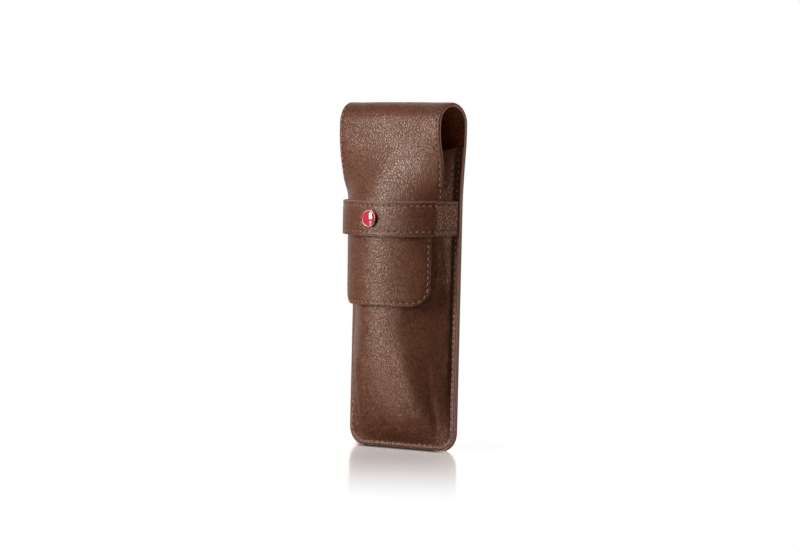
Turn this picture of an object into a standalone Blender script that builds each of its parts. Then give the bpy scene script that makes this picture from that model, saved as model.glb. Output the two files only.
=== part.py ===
"""Leather double pen case: a moulded two-pocket pouch on a flat back, closed by a tongue flap
that folds over the top and tucks under a strap with a round stud.

The case stands upright: X runs across it, the front faces -Y and the flat back faces +Y.
Leather, board and lining are sheets laid one on another, each a body of its own.
"""

from math import asin, cos, pi, radians, sin, sqrt

import bmesh
import bpy
from mathutils import Matrix, Vector

# Overall sizes, in metres. The flap stands out over the body by FLAP_OVERHANG at each side.
CASE_HEIGHT = 0.160
BODY_WIDTH = 0.0604
FLAP_OVERHANG = 0.0005
CORNER_RADIUS = 0.0075

# Sheet thicknesses and the clearance between touching sheets.
LEATHER = 0.0009
LINING = 0.0005
BOARD = 0.0005
GAP = 0.0003

# Arch of the flap, and the back's lean into it.
ARCH_DEPTH = 0.0201
ARCH_LEG = 0.00395
FLARE = 0.0017
FLARE_LENGTH = 0.034

# Pouch: depths are measured from the front face of the sewn flange.
FLANGE_WIDTH = 0.0036
POUCH_DEPTH = 0.0226
POUCH_LOWER_DEPTH = 0.0215
SHOULDER_BELOW_TIP = 0.004
MOUTH_DROP = 0.0235
MOUTH_RISE = 0.0033
POUCH_BULGE = 2.2
POUCH_LOWER_BULGE = 2.0
BOTTOM_SQUARENESS = 3.0
BOTTOM_SHARPNESS = 1.15
BOTTOM_SWELL = 1.7

# Stiffening board in the back, and the tray that the lining forms round it.
BOARD_BOTTOM_HEIGHT = 0.015
BOARD_BELOW_MOUTH = 0.0025
BOARD_INSET = 0.0067
TRAY_STEP = 0.0015

# Strap and stud: the strap's middle line lies STRAP_DROP below the crown.
STRAP_DROP = 0.0538
STRAP_WIDTH = 0.0160
STRAP_OVERHANG = 0.0009
STRAP_SAG = 0.0010
STRAP_BULGE = 2.3
STRAP_FOOT_RISE = 0.006
STRAP_CLEARANCE = 0.0009
STUD_RADIUS = 0.0039
STUD_BEVEL = 0.0003
INLAY_FLOOR = 0.0002
STUD_HEIGHT = 0.0011
ENAMEL_RADIUS = 0.0028
ENAMEL_DOME = 0.0006
POST_RADIUS = 0.0010
WASHER_RADIUS = 0.0026

# Flap front and tongue.
BULGE_LENGTH = 0.036
TAPER_BELOW_JOINT = 0.008
TAPER_BELOW_STRAP = 0.0142
TONGUE_INSET = 0.0058
TONGUE_REACH = 0.0402
TONGUE_CORNER_RADIUS = 0.0075
TIP_STANDOFF = 0.0004
WIDEST_SHARE = 0.95

# Pen divider.
DIVIDER_THICKNESS = 0.0008
DIVIDER_BOTTOM_HEIGHT = 0.016
DIVIDER_BELOW_MOUTH = 0.0065

# Sewing thread, laid along the edges.
THREAD_RADIUS = 0.00015
SEAM_INSET = 0.0015

# Facets.
ARC_COLUMNS = 26
FLAP_COLUMNS = 16
CORNER_ROWS = 5
ARCH_ROWS = 14
THREAD_STEPS = 36
DIVIDER_ROWS = 12
FLAP_ROWS = 10
FLARE_ROWS = 8
BOARD_ROWS = 5
TRAY_ROWS = 6
TRAY_TOP_ROWS = 3
SWELL_ROWS = 8
POUCH_ROWS = 9
DOME_ROWS = 6
ROUND_STEPS = 32

# Spacing of the two points that a slope is taken from, and the reach of a weld.
NEARBY = 0.001
WELD = 1e-6

# Sizes that follow from those above.
SHEET_STEP = LEATHER + GAP
FLAP_STACK = LEATHER + GAP + LINING
BACK_STACK = LEATHER + GAP + LINING + GAP + LEATHER
TRAY_RISE = BOARD + GAP
BODY_HALF = BODY_WIDTH / 2
FLAP_HALF = BODY_HALF + FLAP_OVERHANG
TONGUE_HALF = BODY_HALF - TONGUE_INSET
POUCH_HALF = BODY_HALF - FLANGE_WIDTH
STRAP_REACH = BODY_HALF + STRAP_OVERHANG
FLAP_BULGE_HALF = POUCH_HALF + GAP + FLAP_STACK
FLAP_DEPTH = POUCH_DEPTH + GAP + FLAP_STACK
STRAP_DEPTH = FLAP_DEPTH + STRAP_CLEARANCE + FLAP_STACK
ARCH_RADIUS = ARCH_DEPTH / 2
ARCH_CENTRE_HEIGHT = CASE_HEIGHT - ARCH_RADIUS
ARCH_JOINT_HEIGHT = ARCH_CENTRE_HEIGHT - ARCH_LEG
FLARE_START_HEIGHT = ARCH_JOINT_HEIGHT - FLARE_LENGTH
BULGE_START_HEIGHT = ARCH_JOINT_HEIGHT - BULGE_LENGTH
MOUTH_FRONT_HEIGHT = CASE_HEIGHT - MOUTH_DROP
MOUTH_SIDE_HEIGHT = MOUTH_FRONT_HEIGHT + MOUTH_RISE
BOARD_TOP_HEIGHT = MOUTH_FRONT_HEIGHT - BOARD_BELOW_MOUTH
DIVIDER_TOP_HEIGHT = MOUTH_FRONT_HEIGHT - DIVIDER_BELOW_MOUTH
STRAP_HEIGHT = CASE_HEIGHT - STRAP_DROP
STRAP_TOP_HEIGHT = STRAP_HEIGHT + STRAP_WIDTH / 2
FLAP_SPLIT_HEIGHT = STRAP_TOP_HEIGHT + STRAP_SAG + GAP
TAPER_TOP_HEIGHT = ARCH_JOINT_HEIGHT - TAPER_BELOW_JOINT
TAPER_END_HEIGHT = STRAP_HEIGHT - TAPER_BELOW_STRAP
TONGUE_TIP_HEIGHT = STRAP_HEIGHT - TONGUE_REACH
POUCH_SHOULDER_HEIGHT = TONGUE_TIP_HEIGHT - SHOULDER_BELOW_TIP
FRONT_REACH = BACK_STACK + STRAP_DEPTH + GAP + STUD_HEIGHT + ENAMEL_DOME
THREAD_LIFT = GAP + THREAD_RADIUS
BACK_Y = (FRONT_REACH - FLARE - THREAD_LIFT - THREAD_RADIUS) / 2
FLANGE_Y = BACK_Y - BACK_STACK
ARCH_BACK_Y = BACK_Y + FLARE
ARCH_FRONT_Y = ARCH_BACK_Y - ARCH_DEPTH
ARCH_CENTRE_Y = ARCH_BACK_Y - ARCH_RADIUS


def smoothstep(value, start, end):
    """Ease from 0 at start to 1 at end."""
    t = min(max((value - start) / (end - start), 0.0), 1.0)
    return t * t * (3 - 2 * t)


def mix(a, b, share):
    """Blend from a to b."""
    return a + (b - a) * share


def steps(start, end, count):
    """Evenly spaced values from start to end, both included."""
    return [mix(start, end, i / count) for i in range(count + 1)]


def corner_half_width(height, half, radius):
    """Half width of a sheet with rounded bottom corners."""
    if height >= radius:
        return half
    return half - radius + sqrt(max(radius ** 2 - (radius - height) ** 2, 0.0))


def corner_heights(radius, count):
    """Heights of the rows round a bottom corner, evenly turned."""
    return [radius * (1 - cos(pi / 2 * i / count)) for i in range(count + 1)]


def flare(height):
    """How far the back leans out towards the arch."""
    return FLARE * smoothstep(height, FLARE_START_HEIGHT, ARCH_JOINT_HEIGHT)


def flap_depth(height):
    """Depth of the flap's outer face on the centre line, from the unflared flange."""
    return FLANGE_Y - flap_point(0.0, height).y


def pouch_depth(height):
    """Depth of the pouch's outer face on the centre line, from its flange."""
    upper = min(flap_depth(height) - FLAP_STACK - GAP, POUCH_DEPTH) + flare(height)
    if height >= POUCH_SHOULDER_HEIGHT + CORNER_RADIUS:
        return upper
    rise = (height - FLANGE_WIDTH) / (POUCH_SHOULDER_HEIGHT - FLANGE_WIDTH)
    lower = POUCH_LOWER_DEPTH * (1 - (1 - min(max(rise, 0.0), 1.0)) ** BOTTOM_SWELL)
    return mix(lower, upper, smoothstep(height, POUCH_SHOULDER_HEIGHT,
                                        POUCH_SHOULDER_HEIGHT + CORNER_RADIUS))


def bulge_powers(height):
    """Powers of the rounded section: boxier at the strap, ridged and flat towards the bottom."""
    upper = mix(POUCH_LOWER_BULGE, POUCH_BULGE,
                smoothstep(height, POUCH_SHOULDER_HEIGHT, BULGE_START_HEIGHT))
    low = smoothstep(height, POUCH_SHOULDER_HEIGHT, FLANGE_WIDTH)
    return mix(upper, BOTTOM_SQUARENESS, low), mix(upper, BOTTOM_SHARPNESS, low)


def round_section(angle, half, depth, power_x, power_y):
    """A point of a rounded section: across it, and how far it stands forward."""
    c = cos(angle)
    s = max(sin(angle), 0.0)
    across = half * abs(c) ** (2 / power_x) * (1 if c >= 0 else -1)
    return across, depth * s ** (2 / power_y)


def flap_half_width(height):
    """Half width of the flap, tapering into the tongue with rounded corners."""
    taper = smoothstep(height, TAPER_TOP_HEIGHT, TAPER_END_HEIGHT)
    half = mix(FLAP_HALF, TONGUE_HALF, taper)
    above_tip = height - TONGUE_TIP_HEIGHT
    return half - TONGUE_HALF + corner_half_width(above_tip, TONGUE_HALF, TONGUE_CORNER_RADIUS)


def flap_point(across, height):
    """Outer face of the flap front and tongue: bulged over the pouch, straight at the arch."""
    power = mix(POUCH_LOWER_BULGE, POUCH_BULGE,
                smoothstep(height, POUCH_SHOULDER_HEIGHT, BULGE_START_HEIGHT))
    straight = smoothstep(height, BULGE_START_HEIGHT, ARCH_JOINT_HEIGHT)
    share = abs(across) / max(FLAP_BULGE_HALF, flap_half_width(height) / WIDEST_SHARE)
    arch_depth = FLANGE_Y - ARCH_FRONT_Y
    low = mix(POUCH_LOWER_DEPTH + FLAP_DEPTH - POUCH_DEPTH + TIP_STANDOFF, FLAP_DEPTH,
              smoothstep(height, TONGUE_TIP_HEIGHT, BULGE_START_HEIGHT))
    bulged = low * (1 - share ** power) ** (1 / power)
    return Vector((across, FLANGE_Y - mix(bulged, arch_depth, straight), height))


def new_collection(name):
    collection = bpy.data.collections.new(name)
    bpy.context.scene.collection.children.link(collection)
    return collection


def make_material(name, colour, roughness, metallic=0.0):
    material = bpy.data.materials.new(name)
    material.use_nodes = True
    shader = material.node_tree.nodes["Principled BSDF"]
    shader.inputs["Base Color"].default_value = (*colour, 1.0)
    shader.inputs["Roughness"].default_value = roughness
    shader.inputs["Metallic"].default_value = metallic
    material.diffuse_color = (*colour, 1.0)
    return material


def add_object(name, mesh, material, parent=None):
    """Put a mesh modelled in case coordinates into the part, hung on a joint's empty if given."""
    obj = bpy.data.objects.new(name, mesh)
    mesh.materials.append(material)
    mesh.shade_smooth()
    PARTS.objects.link(obj)
    if parent:
        obj.parent = parent
        obj.matrix_parent_inverse = Matrix.Translation(-parent.location)
    return obj


def grid_mesh(name, columns, rows, place):
    """An open sheet: a grid whose corner (column, row) goes to place(column, row)."""
    bm = bmesh.new()
    bmesh.ops.create_grid(bm, x_segments=columns, y_segments=rows, size=1.0)
    for vert in bm.verts:
        column = round((vert.co.x + 1) / 2 * columns)
        row = round((vert.co.y + 1) / 2 * rows)
        vert.co = place(column, row)
    bm.normal_update()
    mesh = bpy.data.meshes.new(name)
    bm.to_mesh(mesh)
    bm.free()
    return mesh


def sink_mesh(mesh, distance):
    """Move an open sheet back along its normals."""
    bm = bmesh.new()
    bm.from_mesh(mesh)
    bm.normal_update()
    places = {vert: vert.co - vert.normal * distance for vert in bm.verts}
    for vert, place in places.items():
        vert.co = place
    bm.to_mesh(mesh)
    bm.free()


def trim_mesh(mesh, point, normal):
    """Cut an open sheet at a plane and drop the side that the normal points to."""
    bm = bmesh.new()
    bm.from_mesh(mesh)
    bmesh.ops.bisect_plane(bm, geom=bm.verts[:] + bm.edges[:] + bm.faces[:], dist=WELD,
                           plane_co=point, plane_no=normal, clear_outer=True)
    bm.to_mesh(mesh)
    bm.free()


def thicken(obj, thickness):
    """Give a sheet its thickness behind the face that its normals point out of."""
    solidify = obj.modifiers.new("thickness", "SOLIDIFY")
    solidify.thickness = thickness
    solidify.offset = -1.0
    solidify.use_even_offset = True
    solidify.use_quality_normals = True


def add_sheet(name, mesh, thickness, material, parent=None):
    obj = add_object(name, mesh, material, parent)
    thicken(obj, thickness)
    return obj


def add_thread(name, path, material, parent=None):
    """Sewing thread along an open path of points."""
    curve = bpy.data.curves.new(name, "CURVE")
    curve.dimensions = "3D"
    curve.bevel_depth = THREAD_RADIUS
    curve.bevel_resolution = 0
    curve.use_fill_caps = True
    spline = curve.splines.new("POLY")
    spline.points.add(len(path) - 1)
    for point, place in zip(spline.points, path):
        point.co = (*place, 1.0)
    obj = bpy.data.objects.new(name, curve)
    curve.materials.append(material)
    PARTS.objects.link(obj)
    if parent:
        obj.parent = parent
        obj.matrix_parent_inverse = Matrix.Translation(-parent.location)
    return obj


def add_turned(name, profile, y_base, height, material):
    """A turned piece whose axis points forward: profile of (radius, distance forward)."""
    bm = bmesh.new()
    verts = [bm.verts.new((radius, 0.0, forward)) for radius, forward in profile]
    edges = [bm.edges.new(pair) for pair in zip(verts, verts[1:])]
    bmesh.ops.spin(bm, geom=verts + edges, axis=(0, 0, 1), cent=(0, 0, 0),
                   angle=2 * pi, steps=ROUND_STEPS, use_merge=True)
    bmesh.ops.remove_doubles(bm, verts=bm.verts, dist=WELD)
    bmesh.ops.holes_fill(bm, edges=bm.edges)
    bmesh.ops.recalc_face_normals(bm, faces=bm.faces)
    forward_turn = Matrix.Rotation(radians(90), 4, "X")
    bmesh.ops.transform(bm, verts=bm.verts, matrix=Matrix.Translation((0, y_base, height)) @ forward_turn)
    mesh = bpy.data.meshes.new(name)
    bm.to_mesh(mesh)
    bm.free()
    return add_object(name, mesh, material)


def add_cutter(name, radius, y_base, height):
    """A round punch through the strap, along Y."""
    bm = bmesh.new()
    turn = Matrix.Translation((0, y_base, height)) @ Matrix.Rotation(radians(90), 4, "X")
    bmesh.ops.create_cone(bm, cap_ends=True, segments=ROUND_STEPS, radius1=radius, radius2=radius,
                          depth=4 * FLAP_STACK, matrix=turn)
    mesh = bpy.data.meshes.new(name)
    bm.to_mesh(mesh)
    bm.free()
    obj = bpy.data.objects.new(name, mesh)
    CUTTERS.objects.link(obj)
    obj.display_type = "WIRE"
    obj.hide_render = True
    return obj


def punch(obj, cutter):
    """Cut a round hole through a sheet."""
    hole = obj.modifiers.new("hole", "BOOLEAN")
    hole.operation = "DIFFERENCE"
    hole.solver = "EXACT"
    hole.object = cutter


def back_heights(top):
    """Rows of the back: round the corners, one flat field, then the flare."""
    rows = corner_heights(CORNER_RADIUS, CORNER_ROWS)
    return rows + steps(FLARE_START_HEIGHT, top, FLARE_ROWS)


def build_back(leather, board, lining):
    """Outer leather, stiffening board and lining of the back."""
    top = ARCH_JOINT_HEIGHT - GAP / 2
    heights = back_heights(top)

    def half(height):
        widened = mix(BODY_HALF, FLAP_HALF, smoothstep(height, FLARE_START_HEIGHT, ARCH_JOINT_HEIGHT))
        return widened - BODY_HALF + corner_half_width(height, BODY_HALF, CORNER_RADIUS)

    def outer(column, row):
        height = heights[row]
        side = 1 - 2 * column / 2
        return Vector((side * half(height), BACK_Y + flare(height), height))

    add_sheet("back_panel", grid_mesh("back_panel", 2, len(heights) - 1, outer), LEATHER, leather)

    board_half = BODY_HALF - BOARD_INSET
    board_heights = [BOARD_BOTTOM_HEIGHT] + steps(FLARE_START_HEIGHT, BOARD_TOP_HEIGHT, BOARD_ROWS)

    def board_point(column, row):
        height = board_heights[row]
        side = 1 - 2 * column / 2
        return Vector((side * board_half, BACK_Y + flare(height) - SHEET_STEP, height))

    add_sheet("back_stiffener", grid_mesh("back_stiffener", 2, len(board_heights) - 1, board_point),
              BOARD, board)

    tray_low = BOARD_BOTTOM_HEIGHT - GAP
    tray_high = BOARD_TOP_HEIGHT + GAP
    tray_half = board_half + GAP
    tray_rows = [tray_low - TRAY_STEP, tray_low]
    lining_heights = corner_heights(CORNER_RADIUS, CORNER_ROWS)
    lining_heights += tray_rows + steps(FLARE_START_HEIGHT, tray_high, TRAY_ROWS)
    lining_heights += steps(tray_high + TRAY_STEP, top, TRAY_TOP_ROWS)

    def lining_point(column, row):
        height = lining_heights[row]
        sides = (half(height), tray_half + TRAY_STEP, tray_half)
        across = sides[column] if column < 3 else -sides[5 - column]
        if abs(sides[1]) > half(height) - TRAY_STEP:
            across *= (half(height) - TRAY_STEP) / sides[1] if column not in (0, 5) else 1.0
        raised = tray_low <= height <= tray_high and column in (2, 3)
        forward = SHEET_STEP + (TRAY_RISE if raised else 0.0)
        return Vector((across, BACK_Y + flare(height) - forward, height))

    add_sheet("back_lining", grid_mesh("back_lining", 5, len(lining_heights) - 1, lining_point),
              LINING, lining)


def pouch_inner_half(height):
    """Half width of the moulded field inside the flange."""
    inner_radius = CORNER_RADIUS - FLANGE_WIDTH
    if height < FLANGE_WIDTH:
        edge = corner_half_width(height, BODY_HALF, CORNER_RADIUS)
        narrow = POUCH_HALF - inner_radius
        return mix(edge - FLANGE_WIDTH, narrow, height / FLANGE_WIDTH)
    return corner_half_width(height - FLANGE_WIDTH, POUCH_HALF, inner_radius)


def pouch_heights():
    """Rows of the pouch: the flange, the rounded bottom, then evenly up to the mouth."""
    inner_radius = CORNER_RADIUS - FLANGE_WIDTH
    rows = [0.0, FLANGE_WIDTH / 6, FLANGE_WIDTH / 2, FLANGE_WIDTH, FLANGE_WIDTH + inner_radius / 3,
            CORNER_RADIUS, FLANGE_WIDTH + 2 * inner_radius]
    rows += steps(2 * CORNER_RADIUS, POUCH_SHOULDER_HEIGHT, SWELL_ROWS)
    return rows + steps(POUCH_SHOULDER_HEIGHT + CORNER_RADIUS, MOUTH_FRONT_HEIGHT, POUCH_ROWS)


def pouch_row_height(level, forward):
    """Height of a row: the mouth rises from the front to the flange."""
    rise = (MOUTH_SIDE_HEIGHT - MOUTH_FRONT_HEIGHT) * (1 - forward)
    return level + rise * smoothstep(level, BULGE_START_HEIGHT, MOUTH_FRONT_HEIGHT)


def pouch_arc_point(angle, level):
    """Outer face of the moulded front at an angle round its section."""
    height = pouch_row_height(level, sin(angle))
    power_x, power_y = bulge_powers(height)
    depth = max(pouch_depth(height), 0.0)
    across, forward = round_section(angle, pouch_inner_half(height), depth, power_x, power_y)
    return Vector((across, FLANGE_Y + flare(height) - forward, height))


def build_pouch(leather, lining):
    """Moulded front with its sewn flange, and the lining inside it."""
    heights = pouch_heights()

    def front(column, row):
        level = heights[row]
        if column in (0, ARC_COLUMNS + 2):
            height = pouch_row_height(level, 0.0)
            side = -1 if column == 0 else 1
            edge = corner_half_width(height, BODY_HALF, CORNER_RADIUS)
            return Vector((side * edge, FLANGE_Y + flare(height), height))
        return pouch_arc_point(pi - pi * (column - 1) / ARC_COLUMNS, level)

    mesh = grid_mesh("pouch_front", ARC_COLUMNS + 2, len(heights) - 1, front)
    add_sheet("pouch_front", mesh, LEATHER, leather)

    inner_levels = [h for h in heights if h >= FLANGE_WIDTH]
    inner_levels[-1] -= GAP

    def inner(column, row):
        return pouch_arc_point(pi - pi * column / ARC_COLUMNS, inner_levels[row])

    mesh = grid_mesh("pouch_lining", ARC_COLUMNS, len(inner_levels) - 1, inner)
    sink_mesh(mesh, SHEET_STEP)
    trim_mesh(mesh, (0, FLANGE_Y + LEATHER - GAP, 0), (0, 1, 0))
    add_sheet("pouch_lining", mesh, LINING, lining)


def build_divider(lining):
    """Wall between the two pens, from the back lining to the pouch lining."""
    heights = steps(DIVIDER_BOTTOM_HEIGHT, DIVIDER_TOP_HEIGHT, DIVIDER_ROWS)

    def place(column, row):
        height = heights[row]
        back = BACK_Y + flare(height) - SHEET_STEP - TRAY_RISE - LINING - GAP
        slope = (pouch_depth(height + NEARBY) - pouch_depth(height - NEARBY)) / (2 * NEARBY)
        wall = (SHEET_STEP + LINING) * sqrt(1 + slope ** 2) + GAP
        front = FLANGE_Y + flare(height) - pouch_depth(height) + wall + GAP
        return Vector((DIVIDER_THICKNESS / 2, mix(front, back, column), height))

    mesh = grid_mesh("pen_divider", 1, DIVIDER_ROWS, place)
    add_sheet("pen_divider", mesh, DIVIDER_THICKNESS, lining)


def arch_profile(sink, low):
    """Side profile of the arch, from low behind over the top to low in front."""
    radius = ARCH_RADIUS - sink
    points = [(ARCH_CENTRE_Y + radius, low)]
    for angle in steps(0.0, pi, ARCH_ROWS):
        points.append((ARCH_CENTRE_Y + radius * cos(angle), ARCH_CENTRE_HEIGHT + radius * sin(angle)))
    points.append((ARCH_CENTRE_Y - radius, low))
    return points


def build_arch(leather, lining, thread, hinge):
    """The part of the flap that bends over the top."""
    for name, sink, thickness, material in (("flap_arch_leather", 0.0, LEATHER, leather),
                                            ("flap_arch_lining", SHEET_STEP, LINING, lining)):
        profile = arch_profile(sink, ARCH_JOINT_HEIGHT + GAP / 2)

        def place(column, row):
            y, z = profile[row]
            return Vector(((1 - 2 * column / 2) * FLAP_HALF, y, z))

        add_sheet(name, grid_mesh(name, 2, len(profile) - 1, place), thickness, material, hinge)

    raised = arch_profile(-THREAD_LIFT, ARCH_JOINT_HEIGHT + SEAM_INSET)
    for side, end in ((-1, "left"), (1, "right")):
        path = [(side * (FLAP_HALF - SEAM_INSET), y, z) for y, z in raised]
        add_thread("flap_arch_thread_" + end, path, thread, hinge)


def flap_mesh(name, heights, sink):
    """A stretch of the flap front between the given heights, sunk below its outer face."""

    def place(column, row):
        height = heights[row]
        across = mix(-1, 1, column / FLAP_COLUMNS) * flap_half_width(height)
        return flap_point(across, height)

    mesh = grid_mesh(name, FLAP_COLUMNS, len(heights) - 1, place)
    if sink:
        sink_mesh(mesh, sink)
    return mesh


def flap_thread_point(across, height):
    """A point of the flap's sewing, a thread's width above the leather."""
    point = flap_point(across, height)
    beside = flap_point(across * (1 - NEARBY), height) if across else point + Vector((-1, 0, 0))
    along = (beside - point).normalized()
    outward = Vector((abs(along.y) * (1 if across > 0 else -1), -abs(along.x), 0.0))
    return point + outward * THREAD_LIFT


def tongue_seam(top):
    """The tongue's sewing line from its top left, round the tip, to its top right."""
    radius = TONGUE_CORNER_RADIUS - SEAM_INSET
    low = TONGUE_TIP_HEIGHT + SEAM_INSET
    inner = TONGUE_HALF - TONGUE_CORNER_RADIUS
    line = [(SEAM_INSET - flap_half_width(h), h) for h in steps(top, low + radius, FLAP_ROWS)]
    for angle in steps(0.0, pi / 2, CORNER_ROWS)[1:]:
        line.append((-inner - radius * cos(angle), low + radius * (1 - sin(angle))))
    across_tip = [(x, low) for x in steps(-inner, inner, FLAP_COLUMNS)[1:-1]]
    return line + across_tip + [(-x, h) for x, h in line[::-1]]


def build_flap(leather, lining, thread, hinge):
    """Flap front above the strap, and the tongue that is tucked under it."""
    top = ARCH_JOINT_HEIGHT - GAP / 2
    front_heights = steps(FLAP_SPLIT_HEIGHT, top, FLAP_ROWS)
    tongue_top = FLAP_SPLIT_HEIGHT - GAP
    corner = [TONGUE_TIP_HEIGHT + h for h in corner_heights(TONGUE_CORNER_RADIUS, CORNER_ROWS)]
    tongue_heights = corner + steps(corner[-1], tongue_top, FLAP_ROWS)[1:]
    for stretch, heights in (("flap_front", front_heights), ("flap_tongue", tongue_heights)):
        add_sheet(stretch, flap_mesh(stretch, heights, 0.0), LEATHER, leather, hinge)
        name = stretch + "_lining"
        add_sheet(name, flap_mesh(name, heights, SHEET_STEP), LINING, lining, hinge)

    for side, end in ((-1, "left"), (1, "right")):
        heights = steps(FLAP_SPLIT_HEIGHT, top - SEAM_INSET, FLAP_ROWS)
        path = [flap_thread_point(side * (flap_half_width(h) - SEAM_INSET), h) for h in heights]
        add_thread("flap_front_thread_" + end, path, thread, hinge)
    path = [flap_thread_point(x, h) for x, h in tongue_seam(tongue_top)]
    add_thread("flap_tongue_thread", path, thread, hinge)


def strap_point(angle, half, depth, tuck):
    """Point of the strap's section, its foot drawn in to the flange's edge."""
    across, forward = round_section(angle, half, depth, STRAP_BULGE, STRAP_BULGE)
    near_foot = max(1 - forward / STRAP_FOOT_RISE, 0.0)
    across -= tuck * near_foot ** 2 * (1 if across > 0 else -1)
    return across, FLANGE_Y - forward


def strap_centre_height(angle):
    """Centre line of the strap, which hangs a little in the middle."""
    return STRAP_HEIGHT + STRAP_SAG * (1 - sin(angle))


def strap_mesh(name, first_angle, sink):
    """The strap from foot to foot."""
    def place(column, row):
        angle = mix(pi - first_angle, first_angle, column / ARC_COLUMNS)
        x, y = strap_point(angle, STRAP_REACH, STRAP_DEPTH, STRAP_OVERHANG)
        return Vector((x, y, strap_centre_height(angle) + (row - 1) * STRAP_WIDTH / 2))

    mesh = grid_mesh(name, ARC_COLUMNS, 2, place)
    if sink:
        sink_mesh(mesh, sink)
    return mesh


def section_angle(forward):
    """Angle at which the strap's section has risen by the given amount."""
    return asin((forward / STRAP_DEPTH) ** (STRAP_BULGE / 2))


def build_strap(leather, lining, thread):
    """Strap across the front with its lining and its two rows of sewing."""
    foot = section_angle(GAP)
    lining_foot = section_angle(GAP + 4 * THREAD_RADIUS + GAP)
    strap = add_sheet("strap", strap_mesh("strap", foot, 0.0), LEATHER, leather)
    strap_lining = add_sheet("strap_lining", strap_mesh("strap_lining", lining_foot, SHEET_STEP),
                             LINING, lining)
    front_y = FLANGE_Y - STRAP_DEPTH
    punch(strap, add_cutter("post_hole", POST_RADIUS + GAP, front_y, STRAP_HEIGHT))
    punch(strap_lining, add_cutter("washer_hole", WASHER_RADIUS + GAP, front_y, STRAP_HEIGHT))

    offset = STRAP_WIDTH / 2 - SEAM_INSET
    for name, side in (("strap_upper_thread", 1), ("strap_lower_thread", -1)):
        path = []
        for angle in steps(pi - 2 * lining_foot, 2 * lining_foot, THREAD_STEPS):
            x, y = strap_point(angle, STRAP_REACH + THREAD_LIFT, STRAP_DEPTH + THREAD_LIFT,
                              STRAP_OVERHANG)
            path.append((x, y, strap_centre_height(angle) + side * offset))
        add_thread(name, path, thread)


def build_stud(metal, enamel):
    """Round stud: a cap with its post, an enamel inlay and the washer that clinches it."""
    seat = FLANGE_Y - STRAP_DEPTH - GAP
    floor = STUD_HEIGHT - GAP - INLAY_FLOOR
    inlay_floor = floor + GAP
    bowl = ENAMEL_RADIUS + GAP
    post_end = -(FLAP_STACK + GAP)
    cap = [(0.0, post_end), (POST_RADIUS, post_end), (POST_RADIUS, 0.0), (STUD_RADIUS, 0.0),
           (STUD_RADIUS, STUD_HEIGHT - STUD_BEVEL), (STUD_RADIUS - STUD_BEVEL, STUD_HEIGHT),
           (bowl, STUD_HEIGHT), (bowl, floor), (0.0, floor)]
    add_turned("stud_cap", cap, seat, STRAP_HEIGHT, metal)

    dome = [(0.0, inlay_floor), (ENAMEL_RADIUS, inlay_floor), (ENAMEL_RADIUS, STUD_HEIGHT)]
    top = STUD_HEIGHT + ENAMEL_DOME
    for i in range(1, DOME_ROWS):
        angle = pi / 2 * i / DOME_ROWS
        dome.append((ENAMEL_RADIUS * cos(angle), mix(STUD_HEIGHT, top, sin(angle))))
    dome.append((0.0, top))
    add_turned("stud_enamel", dome, seat, STRAP_HEIGHT, enamel)

    ring_back = post_end
    ring_front = ring_back + LINING
    bore = POST_RADIUS + GAP
    ring = [(bore, ring_back), (WASHER_RADIUS, ring_back), (WASHER_RADIUS, ring_front),
            (bore, ring_front), (bore, ring_back)]
    add_turned("stud_washer", ring, seat, STRAP_HEIGHT, metal)


def build_body_thread(thread):
    """Seam thread round the flange, from the mouth down one side, along the bottom and up."""
    radius = CORNER_RADIUS - SEAM_INSET
    side = BODY_HALF - SEAM_INSET
    upper = MOUTH_SIDE_HEIGHT - SEAM_INSET
    heights = steps(upper, FLARE_START_HEIGHT, FLARE_ROWS)
    path = [(-side, h) for h in heights]
    for angle in steps(0.0, pi / 2, CORNER_ROWS):
        path.append((-side + radius * (1 - cos(angle)), CORNER_RADIUS - radius * sin(angle)))
    path += [(-x, z) for x, z in path[::-1]]
    points = [(x, FLANGE_Y + flare(z) - THREAD_LIFT, z) for x, z in path]
    add_thread("body_seam_thread", points, thread)


def add_joint_empty(name, y):
    empty = bpy.data.objects.new(name, None)
    empty.location = (0.0, y, ARCH_JOINT_HEIGHT)
    PARTS.objects.link(empty)
    return empty


for old in list(bpy.data.objects):
    bpy.data.objects.remove(old)

PARTS = new_collection("double_pen_case")
CUTTERS = new_collection("cutters")

LEATHER_BROWN = make_material("brown_grain_leather", (0.118, 0.053, 0.034), 0.48)
LINING_BROWN = make_material("lining_leather", (0.060, 0.026, 0.018), 0.65)
BOARD_GREY = make_material("stiffening_board", (0.35, 0.32, 0.28), 0.9)
THREAD_BROWN = make_material("sewing_thread", (0.30, 0.17, 0.13), 0.6)
METAL = make_material("polished_metal", (0.80, 0.79, 0.77), 0.18, 1.0)
ENAMEL = make_material("red_enamel", (0.45, 0.012, 0.025), 0.12)

FLAP_FOLD = add_joint_empty("flap_fold_axis", ARCH_BACK_Y)
FLAP_UNROLL = add_joint_empty("flap_unroll_axis", ARCH_FRONT_Y)

build_back(LEATHER_BROWN, BOARD_GREY, LINING_BROWN)
build_pouch(LEATHER_BROWN, LINING_BROWN)
build_divider(LINING_BROWN)
build_arch(LEATHER_BROWN, LINING_BROWN, THREAD_BROWN, FLAP_FOLD)
build_flap(LEATHER_BROWN, LINING_BROWN, THREAD_BROWN, FLAP_UNROLL)
build_strap(LEATHER_BROWN, LINING_BROWN, THREAD_BROWN)
build_stud(METAL, ENAMEL)
build_body_thread(THREAD_BROWN)
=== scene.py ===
"""Dressed double pen case: grained leather sheets, painted edges, seams, strap and stud.

Every piece is modelled in the frame's own metres, upright, with the front towards -Y.
"""

from bisect import bisect_left
from functools import lru_cache
from math import atan2, cos, hypot, pi, radians, sin, sqrt
from random import Random

import bmesh
import bpy
from bpy.props import FloatProperty, FloatVectorProperty, PointerProperty
from mathutils import Matrix, Vector, noise


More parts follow.
